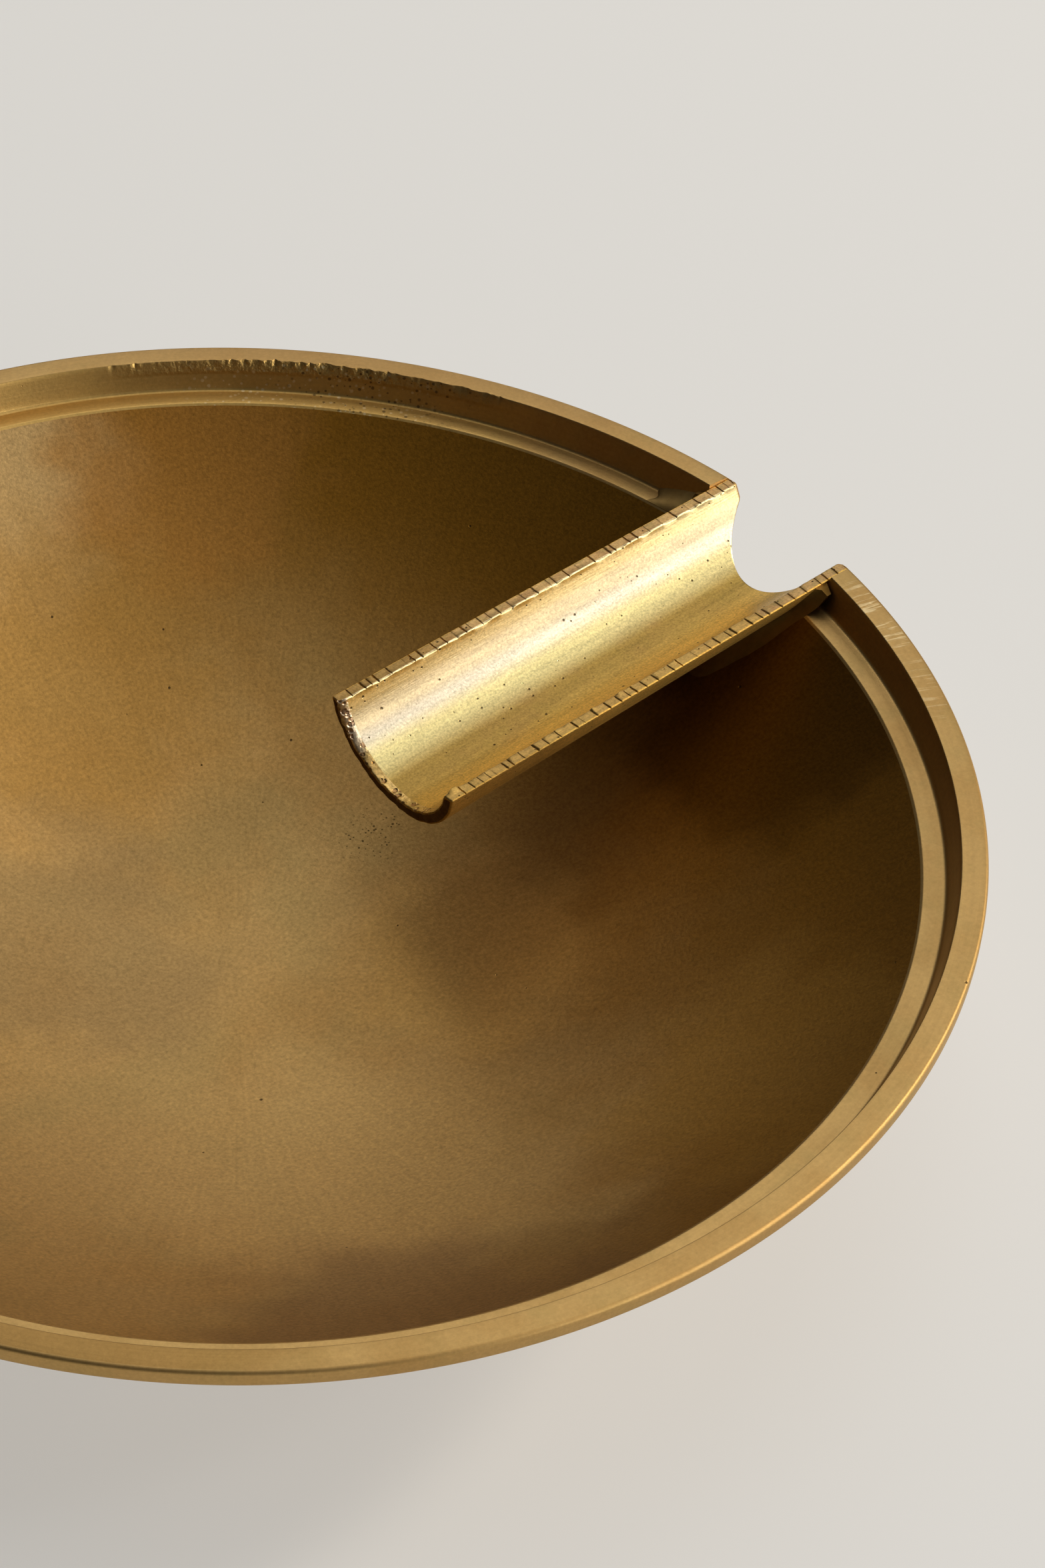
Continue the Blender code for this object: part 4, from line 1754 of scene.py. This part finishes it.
TURNED_RIM = replace(BLASTED, name="turned_rim", metal=(0.500, 0.314, 0.111),
                     ruddy=(0.460, 0.270, 0.086), olive=(0.440, 0.290, 0.100), roughness=0.44,
                     smoke=0.0, patina_size=0.006, grain_tint=0.2,
                     grain_depth=0.000009, lines_follow_u=True, line_length=0.020,
                     line_spacing=0.00018, line_depth=0.000005, line_tint=0.15,
                     stains_and_painted_light=(StainOrPaintedLight((0.0544, -0.0136, 0.0224), 0.0058, BRIGHT_SCRATCH, 0.8,
                                   Mark.SCRATCHES, 0.00026),
                             StainOrPaintedLight((0.0512, -0.0222, 0.0224), 0.0052, BRIGHT_SCRATCH, 0.4,
                                   Mark.SCRATCHES),
                             # The next two darker patches, on the land towards -X -Y and towards +X +Y, are
                             # painted shade.
                             StainOrPaintedLight((-0.0390, -0.0370, 0.0220), 0.0170, (0.310, 0.170, 0.045), 0.65),
                             StainOrPaintedLight((0.0390, 0.0372, 0.0220), 0.0250, (0.395, 0.230, 0.078), 0.6),
                             StainOrPaintedLight((0.0542, 0.0069, 0.0220), 0.0005, DARK_SPECK, 0.9)))
NICKED_WALL = replace(TURNED_RIM, name="nicked_wall", pitted_at=(0.0360, 0.0386, 0.0214),
                      pitted_radius=0.0180,
                      # The wide light patch on the rebate wall and ledge on the +Y side is painted light on
                      # the ledge that the wall shades; the specks after it are real nicks.
                      stains_and_painted_light=(StainOrPaintedLight((0.0260, 0.0440, 0.0205), 0.0340, (0.790, 0.500, 0.135), 0.42),
                              StainOrPaintedLight((0.0360, 0.0386, 0.0214), 0.0150, BRIGHT_SCRATCH, 0.8,
                                    Mark.SPECKS, 0.00045),
                              StainOrPaintedLight((0.0400, 0.0345, 0.0214), 0.0100, DARK_SPECK, 0.7,
                                    Mark.SPECKS, 0.00040)))
TURNED_OUTSIDE = replace(TURNED_RIM, name="turned_outside", roughness=0.52, stains_and_painted_light=())
NOTCH_WALL = replace(TURNED_RIM, name="notch_wall", stains_and_painted_light=())
DRAWN_BORE = Finish("drawn_bore", (0.440, 0.280, 0.070), (0.430, 0.248, 0.080), (0.400, 0.272, 0.064),
                    0.36, patina_size=0.006, grain_depth=0.000006, grain_size=0.00018, grain_tint=0.65,
                    line_length=0.004, line_depth=0.000014, line_tint=0.35,
                    speck_spacing=0.0007, speck_size=0.00010, speck_share=0.55,
                    # These stripes paint the light across the bore: lighter ones on the near lip's face and
                    # the near wall, a darker one along the floor, a painted highlight on the far wall in
                    # four stripes, and a painted glint along the far lip's edge.
                    painted_light_bands=(PaintedLightBand(0.0004, 0.0008, (0.600, 0.360, 0.100), 0.8),
                           PaintedLightBand(0.0056, 0.0034, (0.800, 0.500, 0.120), 0.8),
                           PaintedLightBand(0.0088, 0.0020, (0.210, 0.125, 0.029), 0.5),
                           PaintedLightBand(0.0117, 0.0023, (0.960, 0.820, 0.380), 0.85),
                           PaintedLightBand(0.0134, 0.0017, (0.640, 0.580, 0.480), 0.7),
                           PaintedLightBand(0.0150, 0.0020, (0.440, 0.360, 0.230), 0.75),
                           PaintedLightBand(0.0165, 0.0013, (0.820, 0.640, 0.310), 0.8),
                           PaintedLightBand(0.0172, 0.0004, (1.000, 0.940, 0.780), 0.9)))
SAWN_LIP = replace(DRAWN_BORE, name="sawn_lip", metal=(0.600, 0.375, 0.145), ruddy=(0.500, 0.285, 0.110),
                   olive=(0.480, 0.325, 0.120), roughness=0.48, patina_size=0.0016, patina_amount=0.9,
                   painted_light_bands=(),
                   stains_and_painted_light=(StainOrPaintedLight((0.0160, 0.0068, 0.0187), 0.0130, (0.380, 0.225, 0.060), 0.7),
                           StainOrPaintedLight((0.0300, -0.0150, 0.0190), 0.0190, (0.560, 0.310, 0.100), 0.8)))
FILED_END = replace(DRAWN_BORE, name="filed_end", metal=(0.700, 0.460, 0.160), painted_light_bands=(),
                    grain_depth=0.00005, grain_size=0.00035, grain_tint=0.9,
                    line_spacing=0.0003, line_length=0.002, line_depth=0.00002,
                    speck_spacing=0.00045, speck_size=0.00027, speck_share=0.60,
                    speck_colour=(0.300, 0.140, 0.060), speck_strength=0.7,
                    # The pale patch on the +Y side of the filed end is partly the filed metal's own
                    # paleness and partly a painted highlight, where the bore's highlight meets the end.
                    stains_and_painted_light=(StainOrPaintedLight((0.0142, 0.0062, 0.0170), 0.0040, (0.980, 0.780, 0.540), 0.85),))
DRAWN_OUTSIDE = replace(DRAWN_BORE, name="drawn_outside", metal=(0.900, 0.560, 0.130),
                        ruddy=(0.820, 0.460, 0.100), olive=(0.760, 0.500, 0.120), roughness=0.56, painted_light_bands=(),
                        # The dark patch near the inner end of the tube's -Y flank is painted shade.
                        stains_and_painted_light=(StainOrPaintedLight((0.0150, -0.0080, 0.0165), 0.0150, (0.400, 0.235, 0.060), 0.7),))
# The sawn end faces get a very dark metal, which paints their shade.
SAWN_END_PAINTED_SHADE = replace(SAWN_LIP, name="sawn_end_painted_shade", metal=(0.200, 0.105, 0.035), ruddy=(0.140, 0.065, 0.020),
                   olive=(0.240, 0.150, 0.055), stains_and_painted_light=())
SILVER_SOLDER = Finish("silver_solder", (0.400, 0.255, 0.085), (0.350, 0.210, 0.065), (0.330, 0.225, 0.070),
                       0.60, patina_size=0.002, grain_size=0.0006, grain_depth=0.00002,
                       speck_spacing=0.0011, speck_size=0.00014)
# The seam under the tube and the creep on the -Y side get a near-black brown, which paints the shade they
# lie in.
SHADED_SOLDER = replace(SILVER_SOLDER, name="shaded_solder", metal=(0.230, 0.122, 0.026),
                        ruddy=(0.200, 0.100, 0.018), olive=(0.180, 0.110, 0.024))


# The studio


WARM_LIGHT = (1.0, 0.90, 0.76)


@dataclass(frozen=True)
class SoftBox:
    """A flat soft lamp that faces the object, placed by compass angle and height angle."""

    name: str
    azimuth: float
    elevation: float
    distance: float
    width: float
    height: float
    radiance: float
    colour: tuple[float, float, float] = (1.0, 1.0, 1.0)

    def place(self, aim: Vector) -> None:
        """Make the lamp. Its power is its radiance times pi times its area.

        Args:
            aim: The point that it faces.
        """
        lamp = bpy.data.lights.new(self.name, "AREA")
        lamp.shape = "RECTANGLE"
        lamp.size, lamp.size_y = self.width, self.height
        lamp.energy = self.radiance * math.pi * self.width * self.height
        lamp.color = self.colour
        turn, rise = math.radians(self.azimuth), math.radians(self.elevation)
        level = math.cos(rise)
        outwards = Vector((math.cos(turn) * level, math.sin(turn) * level, math.sin(rise)))
        holder = bpy.data.objects.new(self.name, lamp)
        holder.location = aim + outwards * self.distance
        holder.rotation_euler = outwards.to_track_quat("Z", "Y").to_euler()
        bpy.context.scene.collection.objects.link(holder)


@dataclass
class Studio:
    """The pale floor, the lamps and the dim room around them."""

    aim: Vector = field(default_factory=lambda: Vector((0.0, 0.0, 0.012)))
    floor_size: float = 3.0
    floor_colour: tuple[float, float, float] = (0.384, 0.379, 0.371)
    floor_glow: tuple[float, float, float] = (0.400, 0.390, 0.366)
    floor_roughness: float = 0.9
    floor_specular: float = 0.1
    room_colour: tuple[float, float, float] = (0.03, 0.03, 0.03)
    backdrop_colour: tuple[float, float, float] = (0.66, 0.63, 0.59)
    boxes: tuple[SoftBox, ...] = (
        SoftBox("key_box", -20.0, 33.0, 1.2, 0.18, 0.18, 63.0, WARM_LIGHT),
        SoftBox("catch_box", -47.0, 36.0, 1.2, 0.14, 0.14, 16.0),
        SoftBox("window_low_box", -62.0, 15.0, 1.0, 0.80, 0.36, 4.6),
        SoftBox("window_box", -46.0, 38.0, 1.0, 0.50, 0.40, 1.9),
        SoftBox("upper_left_box", -45.0, 62.0, 1.0, 0.50, 0.38, 0.7),
        SoftBox("upper_right_box", 35.0, 62.0, 1.0, 0.80, 0.38, 1.0),
        SoftBox("top_box", 0.0, 84.0, 1.0, 0.50, 0.50, 0.7),
        SoftBox("far_box", 37.0, 45.0, 1.0, 0.78, 0.38, 1.2),
        SoftBox("far_low_box", 50.0, 20.0, 1.0, 0.40, 0.36, 0.8),
        SoftBox("far_side_box", 70.0, 27.0, 1.0, 0.40, 0.36, 0.45),
    )

    def rays_of_sight(self, graph: Graph) -> bpy.types.NodeSocket:
        """1 for what the camera sees directly, in a reflection or through glass, else 0.

        Args:
            graph: The material's graph.

        Returns:
            The share.
        """
        rays = graph.add("ShaderNodeLightPath").outputs
        direct = graph.calc("MAXIMUM", rays["Is Camera Ray"], rays["Is Glossy Ray"])
        return graph.calc("MAXIMUM", direct, rays["Is Transmission Ray"])

    def floor(self) -> None:
        """A wide flat floor under the object, lifted by a glow that only rays of sight see."""
        half = self.floor_size / 2.0
        mesh = bpy.data.meshes.new("floor")
        corners = [(-half, -half, 0.0), (half, -half, 0.0), (half, half, 0.0), (-half, half, 0.0)]
        mesh.from_pydata(corners, [], [(0, 1, 2, 3)])
        paper = bpy.data.materials.new("pale_paper")
        paper.use_nodes = True
        shader = paper.node_tree.nodes["Principled BSDF"]
        shader.inputs["Base Color"].default_value = (*self.floor_colour, 1.0)
        shader.inputs["Roughness"].default_value = self.floor_roughness
        shader.inputs["Specular IOR Level"].default_value = self.floor_specular
        shader.inputs["Emission Color"].default_value = (*self.floor_glow, 1.0)
        graph = Graph(paper.node_tree)
        graph.feed(shader.inputs["Emission Strength"], self.rays_of_sight(graph))
        mesh.materials.append(paper)
        ground = put_in_scene("floor", mesh)

    def room(self) -> None:
        """The world: dim to the metal, pale to the camera."""
        world = bpy.data.worlds.new("room")
        bpy.context.scene.world = world
        world.use_nodes = True
        graph = Graph(world.node_tree)
        background = world.node_tree.nodes["Background"]
        seen = graph.add("ShaderNodeLightPath").outputs["Is Camera Ray"]
        colour = graph.blend(seen, (*self.room_colour, 1.0), (*self.backdrop_colour, 1.0))
        graph.feed(background.inputs["Color"], colour)

    def build(self) -> None:
        """Make the floor, the lamps and the room, and keep colours plain."""
        self.floor()
        self.room()
        for box in self.boxes:
            box.place(self.aim)
        bpy.context.scene.view_settings.view_transform = "Standard"


@dataclass(frozen=True)
class PhotoCamera:
    """The camera at the photograph's place, given by where it stands and how it is turned."""

    position: tuple[float, float, float] = (-0.12948, -0.17062, 0.21590)
    heading: float = math.radians(47.31)
    pitch_down: float = math.radians(41.90)
    roll: float = math.radians(4.69)
    lens: float = 90.23
    sensor: float = 36.0
    clip_start: float = 0.01

    def build(self) -> None:
        """Make the camera and let the scene use it.

        Its view runs along the heading, tilted down by the pitch. Its right side is the
        level right side turned about the view by the roll.
        """
        data = bpy.data.cameras.new("photo_camera")
        data.lens = self.lens
        data.sensor_width = self.sensor
        data.clip_start = self.clip_start
        right = Vector((math.sin(self.heading), -math.cos(self.heading), 0.0))
        ahead = Vector((math.cos(self.heading), math.sin(self.heading), 0.0))
        view = ahead * math.cos(self.pitch_down) + Vector((0.0, 0.0, -math.sin(self.pitch_down)))
        up = right.cross(view)
        rolled = right * math.cos(self.roll) + up * math.sin(self.roll)
        upright = up * math.cos(self.roll) - right * math.sin(self.roll)
        axes = Matrix((rolled, upright, -view)).transposed()
        camera = bpy.data.objects.new("photo_camera", data)
        camera.matrix_world = Matrix.Translation(self.position) @ axes.to_4x4()
        bpy.context.scene.collection.objects.link(camera)
        bpy.context.scene.camera = camera


def make_groups() -> None:
    """Build every shader group once."""
    make_grain_group()
    make_lines_group()
    make_specks_group()
    make_patina_group()
    make_round_patch_group()


def main() -> None:
    """Build the pieces, dress them, and set up the studio and the camera."""
    logging.basicConfig(level=logging.INFO, format="%(name)s: %(message)s")
    PhotoCamera().build()
    make_groups()
    bowl = Bowl()
    rest = CigaretteRest(RestAxis(bowl))
    solder = Solder(rest)
    bowl.build(rest.notch_bar())
    rest.build()
    solder.build()
    Studio().build()


if __name__ == "__main__":
    main()
